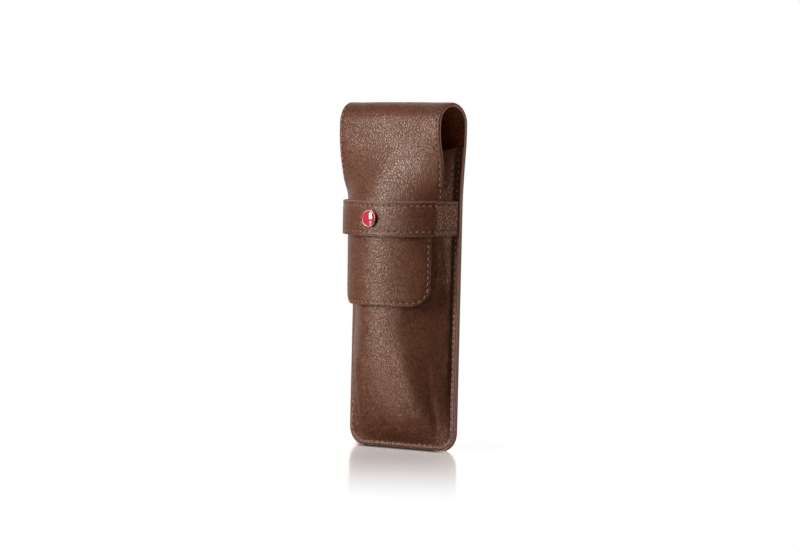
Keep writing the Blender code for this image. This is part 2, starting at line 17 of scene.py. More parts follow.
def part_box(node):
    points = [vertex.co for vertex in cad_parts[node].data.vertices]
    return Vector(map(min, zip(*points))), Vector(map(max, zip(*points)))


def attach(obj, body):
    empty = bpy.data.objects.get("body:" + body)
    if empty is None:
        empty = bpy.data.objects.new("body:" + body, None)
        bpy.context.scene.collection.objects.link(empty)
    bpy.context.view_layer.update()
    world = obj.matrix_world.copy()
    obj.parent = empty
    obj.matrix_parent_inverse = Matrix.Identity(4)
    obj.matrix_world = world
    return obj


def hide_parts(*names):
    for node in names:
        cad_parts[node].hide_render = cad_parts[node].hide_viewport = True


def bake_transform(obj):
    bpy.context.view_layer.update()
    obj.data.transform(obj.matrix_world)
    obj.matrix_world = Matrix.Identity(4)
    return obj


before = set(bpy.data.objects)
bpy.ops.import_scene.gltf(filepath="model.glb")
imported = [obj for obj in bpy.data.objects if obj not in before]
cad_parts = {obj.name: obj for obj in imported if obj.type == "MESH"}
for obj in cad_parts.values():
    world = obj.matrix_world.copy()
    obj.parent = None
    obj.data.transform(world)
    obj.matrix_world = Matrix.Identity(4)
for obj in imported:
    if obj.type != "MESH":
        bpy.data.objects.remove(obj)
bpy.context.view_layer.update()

bl_info = {
    "name": "Double Pen Case",
    "version": (1, 0, 0),
    "blender": (4, 5, 0),
    "location": "3D View > Sidebar > Pen Case",
    "description": "Builds the leather, seams and stud of a double pen case",
    "category": "Object",
}

# Boxes of the frame's own pieces.
POUCH_LOW, POUCH_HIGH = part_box("pouch_front")
ARCH_LOW, ARCH_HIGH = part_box("flap_arch_leather")
TONGUE_LOW, TONGUE_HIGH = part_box("flap_tongue")
STRAP_LOW, STRAP_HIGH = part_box("strap")
CAP_LOW, CAP_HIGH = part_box("stud_cap")
DIVIDER_LOW, DIVIDER_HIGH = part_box("pen_divider")

# Case: its outline follows from the frame, and its back leans out by the flare near the mouth.
CASE_HEIGHT = ARCH_HIGH[2]
FLAP_HALF = ARCH_HIGH[0]
BODY_HALF = POUCH_HIGH[0]
FLARE = 0.0017
FLARE_START = 0.112
BACK_Y = ARCH_HIGH[1] - FLARE
BACK_STACK = 0.0029
FLANGE_Y = BACK_Y - BACK_STACK
CORNER_RADIUS = 0.0085

# Arch of the flap, from the height of its joints up. CROWN is how far up the strip its top is.
JOINT_HEIGHT = 0.146
ARCH_RADIUS = (ARCH_HIGH[1] - ARCH_LOW[1]) / 2
ARCH_CENTRE_Y = ARCH_HIGH[1] - ARCH_RADIUS
ARCH_CENTRE_HEIGHT = CASE_HEIGHT - ARCH_RADIUS
ARCH_FRONT_Y = ARCH_LOW[1]
ARCH_RISE = ARCH_CENTRE_HEIGHT - JOINT_HEIGHT
ARCH_LENGTH = 2 * ARCH_RISE + pi * ARCH_RADIUS
CROWN = JOINT_HEIGHT + ARCH_LENGTH / 2

# Pouch: a moulded field with a narrow sewn flange round it.
FLANGE_WIDTH = 0.0021
BOTTOM_FLANGE = 0.0027
SEAM_LIFT = 0.0005
POUCH_HALF = BODY_HALF - FLANGE_WIDTH
POUCH_DEPTH = FLANGE_Y - POUCH_LOW[1]
LOWER_DEPTH = 0.0215
SHOULDER_HEIGHT = 0.062
MOUTH_FRONT = 0.1365
MOUTH_SIDE = POUCH_HIGH[2]

# Powers of the pouch's section, and of its middle line as it comes forward from the bottom.
POUCH_SQUARENESS = 1.95
POUCH_SHARPNESS = 1.40
BOTTOM_SQUARENESS = 2.7
BOTTOM_SHARPNESS = 1.15
BOTTOM_SWELL = 2.1

# Share of the pouch sheet's half that is moulded, the rest being the flange; columns of its mesh
# there and, as shares in from the edge, on the flange.
MOULDED = 0.86
MOULDED_COLUMNS = 72
FLANGE_COLUMNS = (0.0, 0.02, 0.034, 0.048, 0.062, 0.076, 0.094, 0.115)

# How far the pouch's lining stops short of the mouth, and its thickness to that of other lining.
LINING_SHORT = 0.0006
LINING_MOULDED = 0.7

# Folds of the lower pouch, alike on both sides: height of the ridge, its two ends as (distance
# from the middle, height) and its width. A long swell, a long crease and four short creases.
POUCH_FOLDS = [(0.0008, (0.0195, 0.009), (0.012, 0.046), 0.0046),
               (-0.0006, (0.0228, 0.008), (0.0215, 0.044), 0.0018)]
POUCH_FOLDS += [(-0.00016, (0.0235 - 0.0022 * i, 0.0645 - 0.0018 * i),
                 (0.0235 - 0.0022 * i - 0.0065, 0.0590 - 0.0013 * i), 0.0010) for i in range(4)]

# Band of the pouch that the tongue's tip presses in: heights where it starts, is full, starts to
# fade and ends; how deep it is in the middle, and how much deeper at the sides.
PRESSED_BAND = (0.036, 0.060, 0.068, 0.080)
PRESSED_MIDDLE = 0.0010
PRESSED_SIDES = 0.0008

# Gaps between the wall of the pockets and the linings in front of it and behind it.
DIVIDER_FRONT_GAP = 0.0006
DIVIDER_BACK_GAP = 0.0004

# Flap and tongue: the gap keeps them clear of the pouch under them.
STACK = 0.0017
FLAP_GAP = 0.0003
FLAP_DEPTH = POUCH_DEPTH + STACK + FLAP_GAP
FLAP_BULGE_HALF = BODY_HALF + 0.0002
FLAP_POWER = 1.72
BULGE_START = 0.110
TAPER_TOP = 0.138
TAPER_END = 0.092
TONGUE_HALF = 0.0244
TIP_HEIGHT = TONGUE_LOW[2] + 0.0005
TIP_RADIUS = 0.0088
WIDEST_SHARE = 0.95
STRIP_LENGTH = JOINT_HEIGHT + ARCH_LENGTH + JOINT_HEIGHT - TIP_HEIGHT

# Steps in which half of the flap's section is measured.
ARC_STEPS = 60

# Section of the flap above the strap, where it opens out, and the lean of the arch's halves.
OPEN_SAG = 0.62
OPEN_POWER = 1.65
RIGHT_TWIST_START = 0.128
TWIST_EASE = 0.008
ARCH_TWIST = radians(5.5)

# Strap and stud: the strap's ends slant in and tuck into the side seams.
STRAP_HEIGHT = (CAP_LOW[2] + CAP_HIGH[2]) / 2
STRAP_WIDTH = 0.0160
STRAP_TOP = STRAP_HEIGHT + STRAP_WIDTH / 2
STRAP_DEPTH = FLANGE_Y - STRAP_LOW[1]
STRAP_REACH = 0.0311
STRAP_SAG = 0.0010
STRAP_POWER = 1.93
STRAP_TUCK = STRAP_REACH - BODY_HALF
STRAP_TUCK_RISE = 0.006
STRAP_INSET = 0.0021
STRAP_END_SLOPE = 0.246
STRAP_END_DEPTH = 0.014
STRAP_STEPS = 110
STRAP_CUT = 0.004
STRAP_SEAM_END = 0.07
STUD_RADIUS = (CAP_HIGH[0] - CAP_LOW[0]) / 2
STUD_SEAT = 0.0003
STUD_DENT = 0.0003
STUD_DENT_WIDTH = 0.0016

# Sewing: the groove of a seam, the rounding of a cut edge, how deep the thread lies in the
# groove and the steps of a seam's line.
GROOVE_DEPTH = 0.00022
GROOVE_WIDTH = 0.00055
RIM_WIDTH = 0.0007
SEAM_DEPTH = 0.00018
LINE_STEP = 0.0012

# Stitches: slant and sway in degrees, and the share of the pitch that each thread covers.
STITCH_SLANT = 7
STITCH_SWAY = 3
STITCH_COVER = (0.66, 0.74)

# Painted edge of the body: its height over the cut, how deep it starts and its margin each side.
EDGE_BULGE = 0.00045
EDGE_SUNK = 0.00018
EDGE_MARGIN = 0.00022

# Slant of the grain across the leather.
GRAIN_SLANT = radians(-40)

# Lights: name, azimuth, elevation, distance, width and height, power, colour, seen in gloss.
KEY_AZIMUTH = -24
WHITE = (1.0, 1.0, 1.0)
LIGHTS = (
    ("key", KEY_AZIMUTH, 19, 1.0, (0.30, 0.70), 12.2, WHITE, True),
    ("top", 20, 80, 0.9, (0.45, 0.45), 1.2, WHITE, True),
    ("side", 127, 8, 1.1, (0.20, 0.30), 3.4, (1.0, 0.74, 0.60), True),
    ("back", 208, 22, 1.1, (0.40, 0.50), 6.5, WHITE, False),
)

# Floor: glow that the camera sees and glow that gloss sees towards the key light, and the
# distances between which it turns white.
FLOOR_GLOW = 0.36
KEY_GLOW = 4.0
FLOOR_NEAR = 0.03
FLOOR_WHITE = 0.25

# World: light on the case, and what its gloss sees away from the backdrop.
WORLD_LIGHT = 0.07
WORLD_GLOSS = 0.005

# Painted contact shadow on the floor at the case's foot: how far it slants, its half size and how
# far it fades.
CONTACT_SHADOW_SLANT = 0.77
CONTACT_SHADOW_HALF = (0.0190, 0.0040, 0.0)
CONTACT_SHADOW_FADE = 0.0095

# Camera, as the photograph was taken: angles in degrees, distances in metres.
CAMERA_AZIMUTH = 37.5
CAMERA_DISTANCE = 1.47
CAMERA_HEIGHT = 0.1216
CAMERA_TILT = -1.635
CAMERA_YAW = 0.084
CAMERA_ROLL = 1.37
PIXELS_PER_METRE = 2157
FRAME_WIDTH = 800
SENSOR_WIDTH = 36.0


class PenCaseSizes(bpy.types.PropertyGroup):
    """Sizes of the sheets and of the sewing."""
    leather: FloatProperty(name="Leather", description="Thickness of the outer leather",
                           default=0.0011, unit="LENGTH")
    lining: FloatProperty(name="Lining", description="Thickness of the lining leather",
                          default=0.0008, unit="LENGTH")
    side_pitch: FloatProperty(name="Side pitch", description="Stitch length along the sides",
                              default=0.0029, unit="LENGTH")
    end_pitch: FloatProperty(name="End pitch", description="Stitch length along bottom and tongue",
                             default=0.0030, unit="LENGTH")
    thread: FloatProperty(name="Thread", description="Radius of the sewing thread",
                          default=0.00022, unit="LENGTH")
    inset: FloatProperty(name="Seam inset", description="Distance of a seam from the edge",
                         default=0.0014, unit="LENGTH")


class PenCaseColours(bpy.types.PropertyGroup):
    """Colours of the finishes."""
    leather: FloatVectorProperty(name="Leather", description="Grained outer leather",
                                 default=(0.145, 0.048, 0.0225), subtype="COLOR")
    edge: FloatVectorProperty(name="Edge paint", description="Paint on the cut edges",
                              default=(0.260, 0.130, 0.100), subtype="COLOR")
    lining: FloatVectorProperty(name="Lining", description="Lining leather",
                                default=(0.245, 0.068, 0.029), subtype="COLOR")
    thread: FloatVectorProperty(name="Thread", description="Sewing thread",
                                default=(0.52, 0.280, 0.210), subtype="COLOR")
    metal: FloatVectorProperty(name="Metal", description="Polished stud metal",
                               default=(0.56, 0.28, 0.26), subtype="COLOR")
    enamel: FloatVectorProperty(name="Enamel", description="Inlay of the stud",
                                default=(0.52, 0.035, 0.060), subtype="COLOR")
    board: FloatVectorProperty(name="Board", description="Stiffening board",
                               default=(0.35, 0.32, 0.28), subtype="COLOR")
    floor: FloatVectorProperty(name="Floor", description="Studio floor",
                               default=(0.32, 0.32, 0.32), subtype="COLOR")


def smoothstep(value, start, end):
    """Ease from 0 at start to 1 at end."""
    t = min(max((value - start) / (end - start), 0.0), 1.0)
    return t * t * (3 - 2 * t)


def mix(a, b, share):
    """Blend from a to b."""
    return a + (b - a) * share


def steps(start, end, count):
    """Evenly spaced values from start to end, both included."""
    return [mix(start, end, i / count) for i in range(count + 1)]


def steps_of(start, end, size):
    """Evenly spaced values, about the given size apart."""
    return steps(start, end, max(round(abs(end - start) / size), 1))


def running_lengths(points):
    """Distance covered at each of a row of points, from the first on."""
    lengths = [0.0]
    for before, after in zip(points, points[1:]):
        lengths.append(lengths[-1] + (after - before).length)
    return lengths


def step_at(lengths, distance):
    """Which step of a row of lengths holds a distance, and how much of that step it covers."""
    i = min(max(bisect_left(lengths, distance), 1), len(lengths) - 1)
    return i, (distance - lengths[i - 1]) / (lengths[i] - lengths[i - 1])


def bell(distance, width):
    """A smooth bump of height 1 about 0."""
    t = (distance / width) ** 2
    return 1 / (1 + t * t + t)


def corner_half(height, half, radius):
    """Half width of a sheet with rounded bottom corners."""
    if height >= radius:
        return half
    return half - radius + sqrt(max(radius ** 2 - (radius - height) ** 2, 0.0))


def edge_distance(across, height, half, radius):
    """Distance from the outline of a sheet with rounded bottom corners."""
    beside = abs(across) - (half - radius)
    below = radius - height
    if beside > 0 and below > 0:
        return radius - hypot(beside, below)
    return min(half - abs(across), height)


def flare(height):
    """How far the back leans out towards the arch."""
    return FLARE * smoothstep(height, FLARE_START, JOINT_HEIGHT)


def back_half(height):
    """Half width of the back panel."""
    half = mix(BODY_HALF, FLAP_HALF, smoothstep(height, FLARE_START, JOINT_HEIGHT))
    return half - BODY_HALF + corner_half(height, BODY_HALF, CORNER_RADIUS)


def flap_taper(height):
    """Half width of the flap seen from the front, without its rounded corners."""
    return mix(FLAP_HALF, TONGUE_HALF, smoothstep(height, TAPER_TOP, TAPER_END))


def flap_face_depth(across, height):
    """How far the flap's face stands in front of the flange."""
    straight = smoothstep(height, BULGE_START, JOINT_HEIGHT)
    widest = max(FLAP_BULGE_HALF, flap_taper(height) / WIDEST_SHARE)
    share = min(abs(across) / widest, 0.999)
    low = mix(LOWER_DEPTH + FLAP_DEPTH - POUCH_DEPTH, FLAP_DEPTH,
              smoothstep(height, TIP_HEIGHT, BULGE_START))
    bulged = low * (1 - share ** FLAP_POWER) ** (1 / FLAP_POWER)
    opened = low * (1 - OPEN_SAG * abs(across / flap_taper(height)) ** OPEN_POWER)
    bulged = mix(bulged, opened, smoothstep(height, STRAP_TOP - 0.001, STRAP_TOP + 0.010))
    return mix(bulged, FLANGE_Y - ARCH_FRONT_Y, straight)


@lru_cache(maxsize=None)
def flap_arc(height):
    """Distances along half of the flap's section at a height, and the places across there."""
    half = flap_taper(height)
    places = [half * sin(pi / 2 * i / ARC_STEPS) for i in range(ARC_STEPS + 1)]
    depths = [flap_face_depth(x, height) for x in places]
    lengths = [0.0]
    for i in range(ARC_STEPS):
        lengths.append(lengths[-1] + hypot(places[i + 1] - places[i], depths[i + 1] - depths[i]))
    return lengths, places


def flap_arc_half(height):
    """Length of half of the flap's section at a height."""
    return flap_arc(round(height, 7))[0][-1]


def flap_across(distance, height):
    """Place across the flap at a distance along its section from the middle."""
    lengths, places = flap_arc(round(height, 7))
    i, t = step_at(lengths, min(abs(distance), lengths[-1]))
    return mix(places[i - 1], places[i], t) * (1 if distance >= 0 else -1)


def flap_cut_half(height):
    """Half width of the cut flap along its section, with the tongue's rounded corners."""
    return corner_half(height - TIP_HEIGHT, flap_arc_half(height), TIP_RADIUS)


def flap_place(share, height):
    """Outer face of the flap front and tongue."""
    across = flap_across(share * flap_cut_half(height), height)
    return Vector((across, FLANGE_Y - flap_face_depth(across, height), height))


def strip_place(share, along):
    """Outer face of the one leather that goes up the back, over the arch and down the flap."""
    if along <= JOINT_HEIGHT:
        return Vector((share * back_half(along), BACK_Y + flare(along), along))
    down = along - JOINT_HEIGHT - ARCH_LENGTH
    left = right = smoothstep(along, JOINT_HEIGHT + ARCH_RISE,
                              JOINT_HEIGHT + ARCH_LENGTH - ARCH_RISE)
    if down >= 0:
        point = flap_place(share, JOINT_HEIGHT - down)
        left = smoothstep(point.z, BULGE_START, JOINT_HEIGHT - ARCH_RISE)
        right = smoothstep(point.z, RIGHT_TWIST_START, JOINT_HEIGHT)
    else:
        turn = min(max((along - JOINT_HEIGHT - ARCH_RISE) / ARCH_RADIUS, 0.0), pi)
        rise = min(along - JOINT_HEIGHT, ARCH_RISE, -down)
        point = Vector((share * FLAP_HALF, ARCH_CENTRE_Y + ARCH_RADIUS * cos(turn),
                        JOINT_HEIGHT + rise + ARCH_RADIUS * sin(turn)))
    if point.x > 0:
        point.y -= sin(ARCH_TWIST) * right * (hypot(point.x, TWIST_EASE) - TWIST_EASE)
    else:
        point.y += sin(ARCH_TWIST) * left * point.x ** 2 / FLAP_HALF
    return point


def strip_edge_distance(distance, half, along):
    """Distance of a point of the strip from its cut edge, measured along the leather."""
    if along < 2 * CORNER_RADIUS:
        return edge_distance(distance, along, BODY_HALF, CORNER_RADIUS)
    above_tip = STRIP_LENGTH - along
    if above_tip < 2 * TIP_RADIUS:
        return edge_distance(distance, above_tip, flap_arc_half(TIP_HEIGHT + above_tip),
                             TIP_RADIUS)
    return half - abs(distance)


def bulge_powers(height):
    """Powers of the pouch's section: a soft ridge with flat flanks, boxier towards the bottom."""
    low = smoothstep(height, SHOULDER_HEIGHT, FLANGE_WIDTH)
    return (mix(POUCH_SQUARENESS, BOTTOM_SQUARENESS, low),
            mix(POUCH_SHARPNESS, BOTTOM_SHARPNESS, low))


def pouch_depth(height):
    """Depth of the pouch on its middle line, in front of the flange."""
    upper = min(flap_face_depth(0.0, height) - STACK - FLAP_GAP, POUCH_DEPTH) + flare(height)
    rise = min(max((height - BOTTOM_FLANGE) / (SHOULDER_HEIGHT - BOTTOM_FLANGE), 0.0), 1.0)
    lower = LOWER_DEPTH * (1 - (1 - rise) ** BOTTOM_SWELL)
    return mix(lower, upper, smoothstep(height, SHOULDER_HEIGHT, SHOULDER_HEIGHT + CORNER_RADIUS))


def pouch_inner_half(height):
    """Half width of the moulded field inside the flange."""
    inner_radius = CORNER_RADIUS - FLANGE_WIDTH
    if height >= BOTTOM_FLANGE:
        return corner_half(height - BOTTOM_FLANGE, POUCH_HALF, inner_radius)
    edge = corner_half(height, BODY_HALF, CORNER_RADIUS)
    return mix(edge - FLANGE_WIDTH, POUCH_HALF - inner_radius, height / BOTTOM_FLANGE)


def pouch_place(share, level):
    """Outer face of the pouch: the moulded field, and the flange beyond it."""
    side = 1 if share >= 0 else -1
    turn = pi / 2 * max(1 - abs(share) / MOULDED, 0.0)
    forward = sin(turn)
    rise = (MOUTH_SIDE - MOUTH_FRONT) * (1 - forward)
    height = level + rise * smoothstep(level, BULGE_START, MOUTH_FRONT)
    inner = pouch_inner_half(height)
    if abs(share) >= MOULDED:
        edge = corner_half(height, BODY_HALF, CORNER_RADIUS)
        across = mix(inner, edge, (abs(share) - MOULDED) / (1 - MOULDED))
        return Vector((side * across, FLANGE_Y + flare(height), height))
    power_x, power_y = bulge_powers(height)
    across = inner * cos(turn) ** (2 / power_x)
    depth = max(pouch_depth(height), 0.0) * forward ** (2 / power_y)
    return Vector((side * across, FLANGE_Y + flare(height) - depth, height))


def strap_place(share, along):
    """Outer face of the strap: share goes from its lower to its upper edge, along between ends."""
    turn = pi * (1 - along)
    c = cos(turn)
    forward = sin(turn)
    across = STRAP_REACH * abs(c) ** (2 / STRAP_POWER)
    depth = STRAP_DEPTH * max(forward, 0.0) ** (2 / STRAP_POWER)
    across -= STRAP_TUCK * max(1 - depth / STRAP_TUCK_RISE, 0.0) ** 2
    slanted = BODY_HALF - STRAP_END_SLOPE * depth
    across = min(across, slanted + 2 * max(depth - STRAP_END_DEPTH, 0.0))
    height = STRAP_HEIGHT + STRAP_SAG * (1 - forward) + share * STRAP_WIDTH / 2
    return Vector((across if c >= 0 else -across, FLANGE_Y - depth, height))


class Sheet:
    """A sheet laid by a formula: place(share, along), facing out on the given side."""
    share_step = 0.002

    def __init__(self, place, low, high, outward):
        self.place = place
        self.low = low
        self.high = high
        self.outward = outward
        self.step = (high - low) * 1e-4

    def frame(self, share, along):
        """Point, direction across, direction along and outward normal."""
        here = self.place(share, along)
        left = max(share - self.share_step, -1.0)
        right = min(share + self.share_step, 1.0)
        before = max(along - self.step, self.low)
        after = min(along + self.step, self.high)
        across = (self.place(right, along) - self.place(left, along)).normalized()
        onward = (self.place(share, after) - self.place(share, before)).normalized()
        normal = across.cross(onward).normalized() * self.outward
        return here, across, onward, normal

    def from_edge(self, side, along, inset):
        """Share at a distance in from an edge, measured over the sheet."""
        share = 1.0
        left = inset
        previous = self.place(side * share, along)
        while left > 0:
            share -= self.share_step
            point = self.place(side * share, along)
            left -= (point - previous).length
            previous = point
        return side * share


STRIP = Sheet(strip_place, 0.0, STRIP_LENGTH, -1)
POUCH = Sheet(pouch_place, 0.0, MOUTH_FRONT, 1)
STRAP = Sheet(strap_place, 0.0, 1.0, -1)


def new_grid(columns, rows):
    """A flat grid of so many columns and rows of vertices, and the column and row of each."""
    bm = bmesh.new()
    bmesh.ops.create_grid(bm, x_segments=columns - 1, y_segments=rows - 1, size=1.0)
    return bm, {vert: (round((vert.co.x + 1) / 2 * (columns - 1)),
                       round((vert.co.y + 1) / 2 * (rows - 1))) for vert in bm.verts}


def lay_sheet(name, sheet, columns, rows, relief=None, sink=0.0):
    """Mesh of a sheet: a grid laid on its formula, raised by its relief, with a map in metres."""
    bm, grid = new_grid(len(columns), len(rows))
    centre = min(range(len(columns)), key=lambda i: abs(columns[i]))
    frames = [[sheet.frame(share, along) for share in columns] for along in rows]
    lengthwise = running_lengths([row[centre][0] for row in frames])
    crosswise = []
    for row in frames:
        lengths = running_lengths([point for point, *_ in row])
        crosswise.append([length - lengths[centre] for length in lengths])
    for vert, (column, row) in grid.items():
        point, _, _, normal = frames[row][column]
        raised = -sink
        if relief:
            half = abs(crosswise[row][-1 if column >= centre else 0])
            raised += relief(point, crosswise[row][column], half, rows[row])
        vert.co = point + normal * raised
    uv = bm.loops.layers.uv.new("Grain")
    for face in bm.faces:
        for loop in face.loops:
            column, row = grid[loop.vert]
            loop[uv].uv = (crosswise[row][column], lengthwise[row] * sheet.outward)
    if sheet.outward < 0:
        bmesh.ops.reverse_faces(bm, faces=bm.faces)
    return mesh_from(name, bm)


def mesh_from(name, bm):
    """Finish a bmesh as a smooth mesh."""
    mesh = bpy.data.meshes.new(name)
    bm.to_mesh(mesh)
    bm.free()
    mesh.shade_smooth()
    return mesh


def new_piece(name, mesh, *materials):
    """Put a finished mesh into the scene."""
    obj = bpy.data.objects.new(name, mesh)
    for material in materials:
        mesh.materials.append(material)
    bpy.context.scene.collection.objects.link(obj)
    return obj


def solidify(obj, thickness, rim=0):
    """Give a sheet its thickness inwards, with its rim so many material slots further on."""
    modifier = obj.modifiers.new("thickness", "SOLIDIFY")
    modifier.thickness = thickness
    modifier.offset = -1.0
    modifier.material_offset_rim = rim
    apply_modifiers(obj)


def thicken(obj, thickness, edge_round=0.0002):
    """Give a sheet its thickness, a painted rim and rounded edges, and keep the result."""
    solidify(obj, thickness, rim=1)
    bm = bmesh.new()
    bm.from_mesh(obj.data)
    weight = bm.edges.layers.float.new("bevel_weight_edge")
    for edge in bm.edges:
        if len({face.material_index for face in edge.link_faces}) > 1:
            edge[weight] = 1.0
    bm.to_mesh(obj.data)
    bm.free()
    bevel = obj.modifiers.new("rounding", "BEVEL")
    bevel.width = edge_round
    bevel.segments = 3
    bevel.limit_method = "WEIGHT"
    bevel.material = 1
    apply_modifiers(obj)


def apply_modifiers(obj):
    """Replace a piece's mesh by what its modifiers make of it."""
    depsgraph = bpy.context.evaluated_depsgraph_get()
    mesh = bpy.data.meshes.new_from_object(obj.evaluated_get(depsgraph))
    obj.modifiers.clear()
    obj.data = mesh


def new_material(name):
    """An empty node material with its shader and output."""
    material = bpy.data.materials.new(name)
    material.use_nodes = True
    return material, material.node_tree, material.node_tree.nodes["Principled BSDF"]


def add_node(tree, kind, inputs=None, **settings):
    """Add a node, set it up and link or fill its inputs."""
    node = tree.nodes.new(kind)
    for key, value in settings.items():
        setattr(node, key, value)
    for key, value in (inputs or {}).items():
        if isinstance(value, bpy.types.NodeSocket):
            tree.links.new(value, node.inputs[key])
        else:
            node.inputs[key].default_value = value
    return node


def math_node(tree, operation, first, second=0.0):
    """Output of a math node."""
    return add_node(tree, "ShaderNodeMath", {0: first, 1: second}, operation=operation).outputs[0]


def vector_math(tree, operation, first, second=(0.0, 0.0, 0.0)):
    """Output of a vector math node: a number for a length or a dot product, else a vector."""
    node = add_node(tree, "ShaderNodeVectorMath", {0: first, 1: second}, operation=operation)
    return node.outputs["Value" if operation in ("LENGTH", "DOT_PRODUCT") else "Vector"]


def map_range(tree, value, low, high, to_low=0.0, to_high=1.0, smooth=False):
    """Output of a map range node."""
    return add_node(tree, "ShaderNodeMapRange",
                    {"Value": value, "From Min": low, "From Max": high,
                     "To Min": to_low, "To Max": to_high},
                    interpolation_type="SMOOTHSTEP" if smooth else "LINEAR").outputs["Result"]


def mix_colour(tree, factor, first, second):
    """Output of a colour mix node."""
    return add_node(tree, "ShaderNodeMix", {0: factor, 6: first, 7: second},
                    data_type="RGBA").outputs[2]


def noise_outputs(tree, where, scale, detail, roughness=0.5):
    """Outputs of a noise texture: Fac is a number and Color a vector."""
    return add_node(tree, "ShaderNodeTexNoise", {"Vector": where, "Scale": scale, "Detail": detail,
                                                 "Roughness": roughness}).outputs


def vary_colour(tree, shader, factor, colour, dark, light):
    """Let a finish's colour wander between a darker and a lighter shade."""
    tree.links.new(mix_colour(tree, factor, shade(colour, dark), shade(colour, light)),
                   shader.inputs["Base Color"])


def vary_roughness(tree, shader, factor, low, high):
    """Let a finish's roughness wander between two values."""
    tree.links.new(map_range(tree, factor, 0.3, 0.7, low, high), shader.inputs["Roughness"])


def add_bump(tree, shader, height, distance, strength=1.0):
    """Raise a finish by a height, which is 1 at the given distance in metres."""
    bump = add_node(tree, "ShaderNodeBump", {"Strength": strength, "Distance": distance,
                                             "Height": height})
    tree.links.new(bump.outputs["Normal"], shader.inputs["Normal"])


def shade(colour, factor):
    """A darker or lighter colour with alpha."""
    return tuple(min(channel * factor, 1.0) for channel in colour) + (1.0,)


def new_group(name, inputs, outputs):
    """A shader node group with named float or vector sockets."""
    group = bpy.data.node_groups.new(name, "ShaderNodeTree")
    for label, kind, default in inputs:
        socket = group.interface.new_socket(label, in_out="INPUT", socket_type=kind)
        if default is not None:
            socket.default_value = default
    for label, kind in outputs:
        group.interface.new_socket(label, in_out="OUTPUT", socket_type=kind)
    return group, group.nodes.new("NodeGroupInput"), group.nodes.new("NodeGroupOutput")


def pebble_grain_group():
    """Fine slanted leather grain: stretched pebbles between creases, with slow mottling."""
    if "pebble_grain" in bpy.data.node_groups:
        return bpy.data.node_groups["pebble_grain"]
    scalar = "NodeSocketFloat"
    group, source, result = new_group(
        "pebble_grain",
        [("Vector", "NodeSocketVector", None), ("Cells", scalar, 760.0), ("Depth", scalar, 1.0)],
        [("Height", scalar), ("Crease", scalar), ("Mottle", scalar)])
    place = source.outputs["Vector"]
    wander = noise_outputs(group, place, scale=380.0, detail=2.0)["Color"]
    wander = vector_math(group, "SUBTRACT", wander, (0.5, 0.5, 0.5))
    shift = add_node(group, "ShaderNodeVectorMath", {0: wander, "Scale": 0.0004},
                     operation="SCALE").outputs[0]
    turned = add_node(group, "ShaderNodeVectorRotate",
                      {"Vector": vector_math(group, "ADD", place, shift), "Angle": GRAIN_SLANT},
                      rotation_type="Z_AXIS").outputs[0]
    stretched = vector_math(group, "MULTIPLY", turned, (1.0, 0.45, 1.0))
    from_crease = add_node(group, "ShaderNodeTexVoronoi",
                           {"Vector": stretched, "Scale": source.outputs["Cells"]},
                           feature="DISTANCE_TO_EDGE").outputs["Distance"]
    crease = map_range(group, from_crease, 0.0, 0.16, 1.0, 0.0, smooth=True)
    slope = map_range(group, from_crease, 0.0, 0.42)
    pebble = math_node(group, "MULTIPLY", slope, math_node(group, "SUBTRACT", 2.0, slope))
    patch = noise_outputs(group, place, scale=130.0, detail=3.0)["Fac"]
    patch = map_range(group, patch, 0.3, 0.7, 0.75, 1.15)
    pores = noise_outputs(group, stretched, scale=2200.0, detail=3.0)["Fac"]
    pores = math_node(group, "MULTIPLY", pores, 0.25)
    height = math_node(group, "ADD", math_node(group, "MULTIPLY", pebble, patch), pores)
    height = math_node(group, "MULTIPLY", height, source.outputs["Depth"])
    mottle = noise_outputs(group, place, scale=60.0, detail=5.0, roughness=0.6)["Fac"]
    for label, value in (("Height", height), ("Crease", crease), ("Mottle", mottle)):
        group.links.new(value, result.inputs[label])
    return group


def leather_material(name, colour, rough, gloss, cells, bump):
    """Pebbled leather, duller in its creases and darkened there by painted shade, lightly mottled.
    """
    if name in bpy.data.materials:
        return bpy.data.materials[name]
    material, tree, shader = new_material(name)
    where = add_node(tree, "ShaderNodeTexCoord").outputs["UV"]
    grain = add_node(tree, "ShaderNodeGroup", {"Vector": where, "Cells": cells},
                     node_tree=pebble_grain_group()).outputs
    mottled = mix_colour(tree, map_range(tree, grain["Mottle"], 0.35, 0.65),
                         shade(colour, 0.91), shade(colour, 1.09))
    # Painted shade: the base colour darkens towards black-brown in the grain's creases.
    crease_shade = mix_colour(tree, math_node(tree, "MULTIPLY", grain["Crease"], 0.95),
                         mottled, shade(colour, 0.34))
    tree.links.new(crease_shade, shader.inputs["Base Color"])
    tree.links.new(map_range(tree, grain["Crease"], 0.0, 1.0, rough, rough + 0.12),
                   shader.inputs["Roughness"])
    add_bump(tree, shader, grain["Height"], bump)
    shader.inputs["Specular IOR Level"].default_value = gloss
    shader.inputs["Specular Tint"].default_value = (1.0, 0.88, 0.76, 1.0)
    return material


def edge_material():
    """Smooth painted edge with slight unevenness."""
    if "painted_edge" in bpy.data.materials:
        return bpy.data.materials["painted_edge"]
    material, tree, shader = new_material("painted_edge")
    where = add_node(tree, "ShaderNodeTexCoord").outputs["Object"]
    uneven = noise_outputs(tree, where, scale=900.0, detail=3.0)["Fac"]
    vary_colour(tree, shader, uneven, bpy.context.scene.pen_case_colours.edge,
                dark=0.80, light=1.2)
    vary_roughness(tree, shader, uneven, low=0.40, high=0.58)
    add_bump(tree, shader, uneven, distance=0.00008, strength=0.6)
    return material


